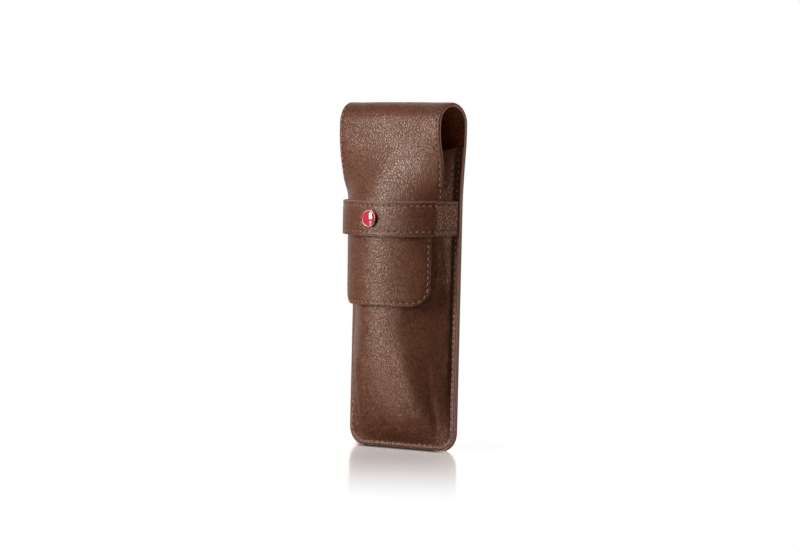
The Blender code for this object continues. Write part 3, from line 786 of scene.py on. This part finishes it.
def thread_material():
    """Twisted thread, with plies that run slantwise round it."""
    if "twisted_thread" in bpy.data.materials:
        return bpy.data.materials["twisted_thread"]
    material, tree, shader = new_material("twisted_thread")
    where = add_node(tree, "ShaderNodeTexCoord").outputs["UV"]
    plies = add_node(tree, "ShaderNodeTexWave", {"Vector": where, "Scale": 3.0, "Distortion": 0.4},
                     bands_direction="DIAGONAL").outputs["Fac"]
    vary_colour(tree, shader, plies, bpy.context.scene.pen_case_colours.thread,
                dark=0.62, light=1.2)
    add_bump(tree, shader, plies, distance=0.0001, strength=0.8)
    shader.inputs["Roughness"].default_value = 0.55
    return material


def speckled_material(name, colour, rough, metallic, scale, coat=0.0):
    """A hard finish with faint variation in colour and gloss."""
    if name in bpy.data.materials:
        return bpy.data.materials[name]
    material, tree, shader = new_material(name)
    where = add_node(tree, "ShaderNodeTexCoord").outputs["Object"]
    specks = noise_outputs(tree, where, scale, detail=4.0)["Fac"]
    vary_colour(tree, shader, specks, colour, dark=0.92, light=1.06)
    vary_roughness(tree, shader, specks, rough * 0.8, rough * 1.25)
    shader.inputs["Metallic"].default_value = metallic
    shader.inputs["Coat Weight"].default_value = coat
    return material


def outer_leather():
    """Finishes of an outer sheet: grained leather, and paint on its cut edge."""
    colour = bpy.context.scene.pen_case_colours.leather
    return leather_material("grained_leather", colour, rough=0.34, gloss=0.60, cells=1150.0,
                            bump=0.00011), edge_material()


def lining_leather():
    """Finishes of a lining sheet: soft matt leather, and paint on its cut edge."""
    colour = bpy.context.scene.pen_case_colours.lining
    return leather_material("soft_lining", colour, rough=0.62, gloss=0.25, cells=1100.0,
                            bump=0.00005), edge_material()


def needle_hole():
    """Near-black finish of the pits at each stitch's ends: painted shade of the holes that the
    thread goes through.
    """
    return speckled_material("needle_hole", (0.012, 0.006, 0.005), rough=0.9, metallic=0.0,
                             scale=500.0)


def sewn_edge(distance, inset):
    """Relief of a sewn edge: it rounds off at the rim and is drawn in along the seam."""
    if distance > 4 * inset:
        return 0.0
    drawn = -GROOVE_DEPTH * bell(distance - inset, GROOVE_WIDTH)
    rim = -GROOVE_DEPTH * max(1 - distance / RIM_WIDTH, 0.0) ** 2
    return drawn + rim


def edge_columns(half, middle_step):
    """Shares across a sheet, close together at its sewn edges."""
    near = [0.0, 0.0005, 0.0008, 0.0011, 0.0014, 0.0017, 0.0021, 0.0026, 0.0034, 0.0046]
    left = [-1 + distance / half for distance in near]
    middle = steps_of(left[-1], -left[-1], middle_step / half)[1:-1]
    return left + middle + [-share for share in left[::-1]]


def edge_rows(low, high, step, sewn_low=False, sewn_high=False):
    """Places along a sheet, close together at its sewn ends."""
    near = [0.0, 0.0004, 0.0008, 0.0011, 0.0014, 0.0017, 0.0021, 0.0026, 0.0033]
    head = [low + distance for distance in near] if sewn_low else [low]
    tail = [high - distance for distance in near[::-1]] if sewn_high else [high]
    return head + steps_of(head[-1], tail[0], step)[1:-1] + tail


def strip_relief(point, distance, half, along):
    """Relief of the leather of the back and flap."""
    inset = bpy.context.scene.pen_case_sizes.inset
    edge = strip_edge_distance(distance, half, along)
    swell = unevenness(point, size=0.020, height=0.0003) * smoothstep(edge, 0.002, 0.010)
    return sewn_edge(edge, inset) + swell * smoothstep(along, JOINT_HEIGHT, CROWN)


def blend_back(obj):
    """Bake the sheet's placement into its mesh."""
    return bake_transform(obj)


def blend_flap(obj):
    """Bake the sheet's placement into its mesh."""
    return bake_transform(obj)


def build_strip(name, low, high, thickness, materials, relief=None, sink=0.0, sewn_low=False,
                sewn_high=False):
    """One stretch of the back-and-flap strip, with the materials of its faces and its edge."""
    columns = edge_columns(FLAP_HALF, middle_step=0.0013)
    rows = edge_rows(low, high, step=0.0008, sewn_low=sewn_low, sewn_high=sewn_high)
    mesh = lay_sheet(name, STRIP, columns, rows, relief, sink)
    obj = new_piece(name, mesh, *materials)
    thicken(obj, thickness, edge_round=0.0003)
    return obj


class PENCASE_OT_back(bpy.types.Operator):
    """Outer leather and lining of the back, up to the crown of the arch"""
    bl_idname = "pencase.back"
    bl_label = "Back"

    def execute(self, context):
        sizes = context.scene.pen_case_sizes
        leather = build_strip("back_leather", 0.0, CROWN, sizes.leather, outer_leather(),
                              strip_relief, sewn_low=True)
        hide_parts("back_panel")
        blend_back(leather)
        lining = build_strip("back_lining_leather", 0.0, CROWN, sizes.lining, lining_leather(),
                             sink=sizes.leather, sewn_low=True)
        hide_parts("back_lining")
        blend_back(lining)
        return {"FINISHED"}


class PENCASE_OT_flap(bpy.types.Operator):
    """Outer leather and lining of the flap, from the crown to the tip of the tongue"""
    bl_idname = "pencase.flap"
    bl_label = "Flap"

    def execute(self, context):
        sizes = context.scene.pen_case_sizes
        leather = build_strip("flap_leather", CROWN, STRIP_LENGTH, sizes.leather, outer_leather(),
                              strip_relief, sewn_high=True)
        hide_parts("flap_arch_leather", "flap_front", "flap_tongue")
        blend_flap(leather)
        lining = build_strip("flap_lining_leather", CROWN, STRIP_LENGTH, sizes.lining,
                             lining_leather(), sink=sizes.leather, sewn_high=True)
        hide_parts("flap_arch_lining", "flap_front_lining", "flap_tongue_lining")
        blend_flap(lining)
        return {"FINISHED"}


def fold(point, start, end, width):
    """A soft ridge along a line on the front, fading at its ends: 1 on it, 0 away from it."""
    x, z = point.x, point.z
    run_x, run_z = end[0] - start[0], end[1] - start[1]
    length = run_x ** 2 + run_z ** 2
    t = ((x - start[0]) * run_x + (z - start[1]) * run_z) / length
    near = min(max(t, 0.0), 1.0)
    distance = hypot(x - start[0] - run_x * near, z - start[1] - run_z * near)
    fade = smoothstep(t, -0.15, 0.25) * (1 - smoothstep(t, 0.75, 1.15))
    return bell(distance, width) * fade


def unevenness(point, size, height, seed=0.0):
    """Gentle dents and swells of hand-moulded leather."""
    return height * noise.noise(Vector((point.x, point.y * 0.7, point.z * 0.6 + seed)) / size)


def pouch_bend(point, *_):
    """How the moulded field swells and dents: folds at its corners and the press of the tongue."""
    inside = smoothstep(pouch_inner_half(point.z) - abs(point.x), 0.0, 0.003)
    inside *= smoothstep(point.z, BOTTOM_FLANGE, 0.009)
    bent = 0.0
    for side in (-1, 1):
        for height, (foot, low), (head, high), width in POUCH_FOLDS:
            bent += height * fold(point, (side * foot, low), (side * head, high), width)
    start, full, fading, end = PRESSED_BAND
    pressed = smoothstep(point.z, start, full) * (1 - smoothstep(point.z, fading, end))
    bent -= pressed * (PRESSED_MIDDLE + PRESSED_SIDES * smoothstep(abs(point.x), 0.010, 0.020))
    gathered = smoothstep(point.z, 0.034, 0.014)
    wall = smoothstep(point.x, 0.021, 0.026)
    bent += (unevenness(point, size=0.0030, height=0.00035 * gathered)
             + unevenness(point, size=0.016, height=0.0003))
    bent += unevenness(Vector((0.0, point.y, point.z * 0.12)), size=0.0012, height=0.0002 * wall,
                       seed=point.x)
    return bent * inside


def pouch_relief(point, *_):
    """Relief of the pouch: its moulded field and its sewn flange."""
    inset = bpy.context.scene.pen_case_sizes.inset
    from_edge = edge_distance(point.x, point.z - SEAM_LIFT, BODY_HALF, CORNER_RADIUS)
    return sewn_edge(max(from_edge, 0.0), inset) + pouch_bend(point)


class PENCASE_OT_pouch(bpy.types.Operator):
    """Moulded pouch front with its flange, its lining and the wall between the pens"""
    bl_idname = "pencase.pouch"
    bl_label = "Pouch"

    def execute(self, context):
        sizes = context.scene.pen_case_sizes
        moulded = steps(-MOULDED, MOULDED, MOULDED_COLUMNS)
        flange = [1 - share for share in FLANGE_COLUMNS]
        columns = [-share for share in flange] + moulded + flange[::-1]
        rows = edge_rows(0.0, MOUTH_FRONT, step=0.0010, sewn_low=True, sewn_high=True)
        mesh = lay_sheet("pouch_leather", POUCH, columns, rows, pouch_relief)
        leather = new_piece("pouch_leather", mesh, *outer_leather())
        thicken(leather, sizes.leather)
        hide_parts("pouch_front")
        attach(leather, "case")

        rows = edge_rows(BOTTOM_FLANGE + sizes.leather, MOUTH_FRONT - LINING_SHORT, step=0.0015)
        mesh = lay_sheet("pouch_lining_leather", POUCH, moulded, rows, pouch_bend,
                         sink=sizes.leather)
        lining = new_piece("pouch_lining_leather", mesh, *lining_leather())
        thicken(lining, sizes.lining * LINING_MOULDED)
        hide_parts("pouch_lining")
        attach(lining, "case")

        divider = new_piece("divider_leather", divider_mesh(sizes.lining), *lining_leather())
        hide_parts("pen_divider")
        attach(divider, "case")
        return {"FINISHED"}


def divider_mesh(thickness):
    """The wall between the pens: a slab whose front edge follows the pouch."""
    bm = bmesh.new()
    bmesh.ops.create_grid(bm, x_segments=12, y_segments=60, size=1.0)
    for vert in bm.verts:
        height = mix(DIVIDER_LOW[2], DIVIDER_HIGH[2], (vert.co.y + 1) / 2)
        front = FLANGE_Y + flare(height) - pouch_depth(height) + STACK + DIVIDER_FRONT_GAP
        back = FLANGE_Y + flare(height) - DIVIDER_BACK_GAP
        vert.co = (thickness / 2, mix(front, back, (vert.co.x + 1) / 2), height)
    uv = bm.loops.layers.uv.new("Grain")
    for face in bm.faces:
        for loop in face.loops:
            loop[uv].uv = (loop.vert.co.y, loop.vert.co.z)
    bmesh.ops.solidify(bm, geom=bm.faces[:], thickness=thickness)
    bmesh.ops.recalc_face_normals(bm, faces=bm.faces)
    return mesh_from("divider_leather", bm)


def strap_relief(point, distance, half, _):
    """Relief of the strap: its sewn edges and the dent round the stud."""
    raised = sewn_edge(half - abs(distance), STRAP_INSET)
    from_stud = hypot(point.x, point.z - STRAP_HEIGHT)
    return raised - STUD_DENT * bell(max(from_stud - STUD_RADIUS, 0.0), STUD_DENT_WIDTH)


class PENCASE_OT_strap(bpy.types.Operator):
    """Strap across the front, with its lining"""
    bl_idname = "pencase.strap"
    bl_label = "Strap"

    def execute(self, context):
        sizes = context.scene.pen_case_sizes
        columns = edge_columns(STRAP_WIDTH / 2, middle_step=0.0010)
        rows = [STRAP_CUT, *steps(0.0, 1.0, STRAP_STEPS)[1:-1], 1 - STRAP_CUT]
        mesh = lay_sheet("strap_leather", STRAP, columns, rows, strap_relief)
        leather = new_piece("strap_leather", mesh, *outer_leather())
        thicken(leather, sizes.leather, edge_round=0.0004)
        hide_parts("strap")
        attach(leather, "case")
        mesh = lay_sheet("strap_lining_leather", STRAP, columns, rows[2:-2], sink=sizes.leather)
        lining = new_piece("strap_lining_leather", mesh, *lining_leather())
        thicken(lining, sizes.lining)
        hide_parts("strap_lining")
        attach(lining, "case")
        return {"FINISHED"}


def turned_mesh(name, profile, base):
    """A round piece on an axis that points forward: profile of (radius, distance forward)."""
    bm = bmesh.new()
    verts = [bm.verts.new((radius, 0.0, forward)) for radius, forward in profile]
    edges = [bm.edges.new(pair) for pair in zip(verts, verts[1:])]
    bmesh.ops.spin(bm, geom=verts + edges, axis=(0, 0, 1), cent=(0, 0, 0), angle=2 * pi,
                   steps=64, use_merge=True)
    bmesh.ops.remove_doubles(bm, verts=bm.verts, dist=1e-6)
    bmesh.ops.recalc_face_normals(bm, faces=bm.faces)
    turn = Matrix.Translation(base) @ Matrix.Rotation(radians(90), 4, "X")
    bmesh.ops.transform(bm, verts=bm.verts, matrix=turn)
    return mesh_from(name, bm)


class PENCASE_OT_stud(bpy.types.Operator):
    """Round stud: a polished rim with a domed enamel inlay"""
    bl_idname = "pencase.stud"
    bl_label = "Stud"

    def execute(self, context):
        colours = context.scene.pen_case_colours
        seat = Vector((0.0, FLANGE_Y - STRAP_DEPTH + STUD_SEAT, STRAP_HEIGHT))
        rim_height, rim_width, rim_gap = 0.0014, 0.0005, 0.00005
        sunk, tray, shoulder, dome_rise = -0.0004, 0.0006, 0.0011, 0.0007
        middle = STUD_RADIUS - rim_width / 2
        profile = [(0.0, sunk), (STUD_RADIUS, sunk)]
        for turn in steps(0.0, pi, 10):
            profile.append((middle + rim_width / 2 * cos(turn),
                            rim_height - rim_width / 2 + rim_width / 2 * sin(turn)))
        profile += [(middle - rim_width / 2, tray), (0.0, tray)]
        rim = new_piece("stud_rim", turned_mesh("stud_rim", profile, seat),
                        speckled_material("polished_stud_metal", colours.metal, rough=0.36,
                                          metallic=1.0, scale=900.0))
        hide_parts("stud_cap")
        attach(rim, "case")

        inlay = STUD_RADIUS - rim_width - rim_gap
        profile = [(0.0, tray), (inlay, tray), (inlay, shoulder)]
        for turn in steps(0.0, pi / 2, 8)[1:]:
            profile.append((inlay * cos(turn), shoulder + dome_rise * sin(turn)))
        dome = new_piece("stud_dome", turned_mesh("stud_dome", profile, seat),
                         speckled_material("red_stud_enamel", colours.enamel, rough=0.10,
                                           metallic=0.0, scale=700.0, coat=1.0))
        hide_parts("stud_enamel")
        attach(dome, "case")
        return {"FINISHED"}


def stitch_template():
    """One stitch, 1 long and of radius 1: a thread that dips in at its ends, with two dark pits of
    painted hole shade.
    """
    dip, lift = 1.1, 0.25
    hole_place, hole_length, hole_depth = 0.53, 0.15, 0.22
    bm = bmesh.new()
    uv = bm.loops.layers.uv.new("Grain")
    bmesh.ops.create_uvsphere(bm, u_segments=8, v_segments=8, radius=1.0,
                              matrix=Matrix.Rotation(radians(90), 4, "Y"))
    for vert in bm.verts:
        x = vert.co.x
        for loop in vert.link_loops:
            loop[uv].uv = (x, atan2(vert.co.y, vert.co.z) / pi)
        vert.co = (x / 2, vert.co.y, vert.co.z - dip * x ** 2 + lift)
    for end in (-1, 1):
        hole = bmesh.ops.create_uvsphere(bm, u_segments=8, v_segments=4, radius=1.0)
        for vert in hole["verts"]:
            vert.co = (vert.co.x * hole_length + end * hole_place, vert.co.y,
                       vert.co.z * hole_depth)
        # The pits take the near-black finish: painted shade of the needle holes.
        for face in {face for vert in hole["verts"] for face in vert.link_faces}:
            face.material_index = 1
    return mesh_from("stitch", bm)


def sew(name, runs, seed):
    """Stitches along runs of (stations, pitch), a station being a point with its normal."""
    radius = bpy.context.scene.pen_case_sizes.thread
    chance = Random(seed)
    stitch = stitch_template()
    bm = bmesh.new()
    for stations, pitch in runs:
        lengths = running_lengths([point for point, _ in stations])
        count = max(round(lengths[-1] / pitch), 1)
        step = lengths[-1] / count
        for i in range(count):
            k, t = step_at(lengths, (i + 0.5) * step)
            (before, normal_before), (after, normal_after) = stations[k - 1], stations[k]
            point = before.lerp(after, t)
            normal = normal_before.lerp(normal_after, t).normalized()
            along = (after - before).normalized()
            slant = radians(STITCH_SLANT + chance.uniform(-STITCH_SWAY, STITCH_SWAY))
            along = Matrix.Rotation(slant, 3, normal) @ along
            side = normal.cross(along).normalized()
            turn = Matrix((side.cross(normal), side, normal)).transposed().to_4x4()
            turn.translation = point
            copy = stitch.copy()
            length = step * chance.uniform(*STITCH_COVER)
            copy.transform(turn @ Matrix.Diagonal((length, radius, radius, 1.0)))
            bm.from_mesh(copy)
            bpy.data.meshes.remove(copy)
    return new_piece(name, mesh_from(name, bm), thread_material(), needle_hole())


def on_sheet(sheet, places):
    """Stations on a sheet at the given (share, along) places, sunk into the seam's groove."""
    stations = []
    for share, along in places:
        point, _, _, normal = sheet.frame(share, along)
        stations.append((point - normal * SEAM_DEPTH, normal))
    return stations


def strip_edge_runs(low, high, inset, pitch):
    """Seam runs along the left and the right edge of the strip."""
    runs = []
    for side in (-1, 1):
        line = [(STRIP.from_edge(side, along, inset), along)
                for along in steps_of(low, high, LINE_STEP)]
        runs.append((on_sheet(STRIP, line), pitch))
    return runs


def body_line(inset, lift, high):
    """Line inside the body's edge: down the left side to the bottom, and up the right."""
    radius = CORNER_RADIUS - inset
    side = BODY_HALF - inset
    line = [(-side, z) for z in steps_of(high, CORNER_RADIUS, LINE_STEP)]
    for turn in steps(0.0, pi / 2, 8)[1:]:
        line.append((-side + radius * (1 - cos(turn)),
                     CORNER_RADIUS - (radius - lift) * sin(turn)))
    return line, [(-x, z) for x, z in line[::-1]]


def flat_stations(line, plane, outward):
    """Stations on the flange or on the back along a line of (x, height)."""
    return [(Vector((x, plane + flare(z) - outward * SEAM_DEPTH, z)), Vector((0, outward, 0)))
            for x, z in line]


class PENCASE_OT_stitches(bpy.types.Operator):
    """All seams, stitch by stitch"""
    bl_idname = "pencase.stitches"
    bl_label = "Stitches"

    def execute(self, context):
        sizes = context.scene.pen_case_sizes
        inset, side_pitch, end_pitch = sizes.inset, sizes.side_pitch, sizes.end_pitch

        down, up = body_line(inset, SEAM_LIFT, MOUTH_SIDE - inset)
        between = steps_of(down[-1][0], up[0][0], 0.003)[1:-1]
        bottom = [down[-1], *((x, inset + SEAM_LIFT) for x in between), up[0]]
        for name, plane, outward in (("body_stitches", FLANGE_Y, -1),
                                     ("back_stitches", BACK_Y, 1)):
            runs = [(flat_stations(line, plane, outward), pitch)
                    for line, pitch in ((down, side_pitch), (bottom, end_pitch), (up, side_pitch))]
            obj = sew(name, runs, seed=3)
            if name == "body_stitches":
                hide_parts("body_seam_thread")
            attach(obj, "case")

        runs = strip_edge_runs(MOUTH_SIDE, CROWN, inset, side_pitch)
        obj = sew("arch_back_stitches", runs, seed=5)
        blend_back(obj)

        runs = strip_edge_runs(CROWN, STRIP_LENGTH - TIP_RADIUS, inset, side_pitch)
        runs.append((on_sheet(STRIP, tip_line(inset)), end_pitch))
        obj = sew("flap_stitches", runs, seed=7)
        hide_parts("flap_arch_thread_left", "flap_arch_thread_right",
                    "flap_front_thread_left", "flap_front_thread_right", "flap_tongue_thread")
        blend_flap(obj)

        share = 1 - STRAP_INSET / (STRAP_WIDTH / 2)
        turns = steps(STRAP_SEAM_END, 1 - STRAP_SEAM_END, 90)
        for name, side, node in (("strap_upper_stitches", 1, "strap_upper_thread"),
                                 ("strap_lower_stitches", -1, "strap_lower_thread")):
            line = [(side * share, turn) for turn in turns]
            obj = sew(name, [(on_sheet(STRAP, line), side_pitch)], seed=11 + side)
            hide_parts(node)
            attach(obj, "case")
        return {"FINISHED"}


def tip_line(inset):
    """Seam places round the tongue's tip, between its two sides."""
    radius = TIP_RADIUS - inset
    inner = flap_arc_half(TIP_HEIGHT + TIP_RADIUS) - TIP_RADIUS
    round_part = [(-inner - radius * cos(turn), TIP_RADIUS - radius * sin(turn))
                  for turn in steps(0.0, pi / 2, 8)]
    line = round_part + [(d, inset) for d in steps_of(-inner, inner, LINE_STEP)[1:-1]]
    line += [(-d, z) for d, z in round_part[::-1]]
    places = []
    for distance, above_tip in line:
        half = flap_cut_half(TIP_HEIGHT + above_tip)
        places.append((distance / half, STRIP_LENGTH - above_tip))
    return places


def body_edge_mesh():
    """A rounded band over the cut edges of the body, from the flange's face to the back's."""
    down, up = body_line(0.0, 0.0, MOUTH_SIDE)
    path = down + [(x, 0.0) for x in steps_of(down[-1][0], up[0][0], 0.0015)[1:-1]] + up
    bm, grid = new_grid(len(path), 9)
    for vert, (i, _) in grid.items():
        t = (vert.co.y + 1) / 2
        x, z = path[i]
        before = path[max(i - 1, 0)]
        after = path[min(i + 1, len(path) - 1)]
        out = Vector((before[1] - after[1], 0.0, after[0] - before[0])).normalized()
        bulge = EDGE_BULGE * sin(pi * t) ** 0.6 - EDGE_SUNK
        depth = mix(FLANGE_Y + EDGE_MARGIN, BACK_Y - EDGE_MARGIN, t)
        vert.co = Vector((x, depth + flare(z), z)) + out * bulge
    return mesh_from("painted_body_edge", bm)


class PENCASE_OT_edges(bpy.types.Operator):
    """Painted edge that closes the sheets along the sides and the bottom of the case"""
    bl_idname = "pencase.edges"
    bl_label = "Painted edges"

    def execute(self, context):
        obj = new_piece("painted_body_edge", body_edge_mesh(), edge_material())
        solidify(obj, thickness=0.0004)
        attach(obj, "case")
        return {"FINISHED"}


class PENCASE_OT_frame_finishes(bpy.types.Operator):
    """Finishes of the hidden board and washer, which stay as the frame has them"""
    bl_idname = "pencase.frame_finishes"
    bl_label = "Hidden pieces"

    def execute(self, context):
        colours = context.scene.pen_case_colours
        finishes = {
            "back_stiffener": speckled_material("fibre_board", colours.board, rough=0.85,
                                                metallic=0.0, scale=300.0),
            "stud_washer": speckled_material("washer_metal", colours.metal, rough=0.25,
                                             metallic=1.0, scale=900.0),
        }
        for name, material in finishes.items():
            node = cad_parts[name]
            node.data.materials.clear()
            node.data.materials.append(material)
        return {"FINISHED"}


class PENCASE_OT_stage(bpy.types.Operator):
    """Floor, soft lights and camera"""
    bl_idname = "pencase.stage"
    bl_label = "Stage"

    def execute(self, context):
        add_floor()
        add_world()
        for light in LIGHTS:
            add_light(*light)
        add_camera()
        context.scene.view_settings.view_transform = "Standard"
        return {"FINISHED"}


def direction(azimuth, elevation):
    """Direction from the case: azimuth 0 is in front of it, 90 on its right."""
    a, e = radians(azimuth), radians(elevation)
    return Vector((sin(a) * cos(e), -cos(a) * cos(e), sin(e)))


def add_light(name, azimuth, elevation, distance, size, power, colour, glossy):
    """A soft light, size wide and high, that points at the middle of the case."""
    middle = Vector((0.0, 0.0, CASE_HEIGHT / 2))
    light = bpy.data.lights.new(name, "AREA")
    light.shape = "RECTANGLE"
    light.size, light.size_y = size
    light.energy = power
    light.color = colour
    obj = bpy.data.objects.new(name, light)
    obj.visible_glossy = glossy
    obj.location = middle + direction(azimuth, elevation) * distance
    obj.rotation_euler = (middle - obj.location).to_track_quat("-Z", "Y").to_euler()
    bpy.context.scene.collection.objects.link(obj)


def key_sheen(tree, where, distance):
    """Mask of a painted glow on the floor before the case, towards the key light, standing in for
    the key light mirrored in the floor; the leather mirrors it.
    """
    heading = vector_math(tree, "NORMALIZE", where)
    towards_key = vector_math(tree, "DOT_PRODUCT", heading, direction(KEY_AZIMUTH, 0.0))
    return math_node(tree, "MULTIPLY", map_range(tree, towards_key, 0.93, 0.99, smooth=True),
                     map_range(tree, distance, 0.24, 0.10, smooth=True))


def painted_contact_shadow(tree, where):
    """Mask of the painted contact shadow where the case's foot meets the floor, which slants with
    the flank.
    """
    place = add_node(tree, "ShaderNodeSeparateXYZ", {0: where}).outputs
    slanted = math_node(tree, "ADD", place["X"],
                        math_node(tree, "MULTIPLY", place["Y"], CONTACT_SHADOW_SLANT))
    beside = add_node(tree, "ShaderNodeCombineXYZ", {"X": slanted, "Y": place["Y"]}).outputs[0]
    foot = (FLANGE_Y * CONTACT_SHADOW_SLANT - 0.0010, FLANGE_Y + 0.0005, 0.0)
    zero = (0.0, 0.0, 0.0)
    for operation, value in (("SUBTRACT", foot), ("ABSOLUTE", zero),
                             ("SUBTRACT", CONTACT_SHADOW_HALF), ("MAXIMUM", zero)):
        beside = vector_math(tree, operation, beside, value)
    away = vector_math(tree, "LENGTH", beside)
    return map_range(tree, away, 0.0, CONTACT_SHADOW_FADE, 0.95, 0.0, smooth=True)


def add_floor():
    """A wide pale floor that keeps the shadow and a faint reflection, with a painted contact
    shadow at the case's foot and a painted glow towards the key light, and is white further off.
    """
    colour = bpy.context.scene.pen_case_colours.floor
    bm = bmesh.new()
    bmesh.ops.create_grid(bm, x_segments=1, y_segments=1, size=6.0)
    material, tree, shader = new_material("studio_floor")
    shader.inputs["Roughness"].default_value = 0.13
    shader.inputs["Specular IOR Level"].default_value = 0.5
    shader.inputs["Emission Color"].default_value = (1.0, 0.93, 0.90, 1.0)
    path = add_node(tree, "ShaderNodeLightPath").outputs
    where = add_node(tree, "ShaderNodeTexCoord").outputs["Object"]
    distance = vector_math(tree, "LENGTH", where)

    bounced = mix_colour(tree, path["Is Diffuse Ray"], (*colour, 1.0), (0.66, 0.64, 0.61, 1.0))
    tree.links.new(mix_colour(tree, path["Is Glossy Ray"], bounced, shade(colour, 0.12)),
                   shader.inputs["Base Color"])
    # Painted reflection: gloss sees the floor glow towards the key light.
    sheen = math_node(tree, "MULTIPLY", key_sheen(tree, where, distance),
                      math_node(tree, "MULTIPLY", path["Is Glossy Ray"], KEY_GLOW))
    glow = math_node(tree, "MULTIPLY", path["Is Camera Ray"], FLOOR_GLOW)
    tree.links.new(math_node(tree, "ADD", sheen, glow), shader.inputs["Emission Strength"])

    # Painted contact shadow: by the foot the floor turns into a near-black diffuse.
    dark = add_node(tree, "ShaderNodeBsdfDiffuse", {"Color": (0.005, 0.003, 0.003, 1.0)})
    near = add_node(tree, "ShaderNodeMixShader",
                    {0: painted_contact_shadow(tree, where), 1: shader.outputs[0], 2: dark.outputs[0]})
    white = add_node(tree, "ShaderNodeEmission", {"Color": (*WHITE, 1.0), "Strength": 1.0})
    far = map_range(tree, distance, FLOOR_NEAR, FLOOR_WHITE, smooth=True)
    far = math_node(tree, "MULTIPLY", far, path["Is Camera Ray"])
    blended = add_node(tree, "ShaderNodeMixShader",
                       {0: far, 1: near.outputs[0], 2: white.outputs[0]})
    tree.links.new(blended.outputs[0], tree.nodes["Material Output"].inputs["Surface"])
    new_piece("floor", mesh_from("floor", bm), material)


def add_world():
    """Soft surroundings with a white backdrop behind the case, which reflections see too."""
    world = bpy.data.worlds.new("studio")
    bpy.context.scene.world = world
    world.use_nodes = True
    tree = world.node_tree
    background = tree.nodes["Background"]
    path = add_node(tree, "ShaderNodeLightPath").outputs
    heading = add_node(tree, "ShaderNodeTexCoord").outputs["Generated"]
    facing = vector_math(tree, "DOT_PRODUCT", heading, -direction(CAMERA_AZIMUTH, 0.0))
    behind = map_range(tree, facing, 0.55, 0.90, smooth=True)
    reflected = math_node(tree, "MULTIPLY", behind, path["Is Glossy Ray"])
    seen = math_node(tree, "MAXIMUM", path["Is Camera Ray"], path["Is Transmission Ray"])
    seen = math_node(tree, "MAXIMUM", seen, reflected)
    dim = map_range(tree, path["Is Glossy Ray"], 0.0, 1.0, WORLD_LIGHT, WORLD_GLOSS)
    tree.links.new(math_node(tree, "MAXIMUM", seen, dim), background.inputs["Strength"])
    background.inputs["Color"].default_value = (*WHITE, 1.0)


def add_camera():
    """A long lens in front and to the right, turned slightly about its own axis."""
    camera = bpy.data.cameras.new("camera")
    camera.sensor_width = SENSOR_WIDTH
    camera.lens = PIXELS_PER_METRE * CAMERA_DISTANCE / FRAME_WIDTH * SENSOR_WIDTH
    camera.clip_start = 0.05
    camera.clip_end = 50.0
    obj = bpy.data.objects.new("camera", camera)
    back = direction(CAMERA_AZIMUTH, 0.0)
    obj.location = Vector((0.0, FLANGE_Y, CAMERA_HEIGHT)) + back * CAMERA_DISTANCE
    turn = (Matrix.Rotation(radians(CAMERA_AZIMUTH + CAMERA_YAW), 4, "Z")
            @ Matrix.Rotation(radians(90 + CAMERA_TILT), 4, "X")
            @ Matrix.Rotation(radians(CAMERA_ROLL), 4, "Z"))
    obj.rotation_euler = turn.to_euler()
    bpy.context.scene.collection.objects.link(obj)
    bpy.context.scene.camera = obj


class PENCASE_PT_panel(bpy.types.Panel):
    """Builds the case piece by piece"""
    bl_label = "Double Pen Case"
    bl_idname = "PENCASE_PT_panel"
    bl_space_type = "VIEW_3D"
    bl_region_type = "UI"
    bl_category = "Pen Case"

    def draw(self, context):
        layout = self.layout
        for group in (context.scene.pen_case_sizes, context.scene.pen_case_colours):
            for name in group.__annotations__:
                layout.prop(group, name)
        for operator in OPERATORS:
            layout.operator(operator.bl_idname)


OPERATORS = (PENCASE_OT_stage, PENCASE_OT_back, PENCASE_OT_flap, PENCASE_OT_pouch,
             PENCASE_OT_strap, PENCASE_OT_stud, PENCASE_OT_edges, PENCASE_OT_stitches,
             PENCASE_OT_frame_finishes)
CLASSES = (PenCaseSizes, PenCaseColours, *OPERATORS, PENCASE_PT_panel)


def register():
    """Add the classes and the scene's sizes and colours."""
    for cls in CLASSES:
        bpy.utils.register_class(cls)
    bpy.types.Scene.pen_case_sizes = PointerProperty(type=PenCaseSizes)
    bpy.types.Scene.pen_case_colours = PointerProperty(type=PenCaseColours)


def unregister():
    """Take them out again."""
    del bpy.types.Scene.pen_case_colours
    del bpy.types.Scene.pen_case_sizes
    for cls in reversed(CLASSES):
        bpy.utils.unregister_class(cls)


def main():
    """Build every piece."""
    register()
    bpy.ops.pencase.stage()
    bpy.ops.pencase.back()
    bpy.ops.pencase.flap()
    bpy.ops.pencase.pouch()
    bpy.ops.pencase.strap()
    bpy.ops.pencase.stud()
    bpy.ops.pencase.edges()
    bpy.ops.pencase.stitches()
    bpy.ops.pencase.frame_finishes()


if __name__ == "__main__":
    main()
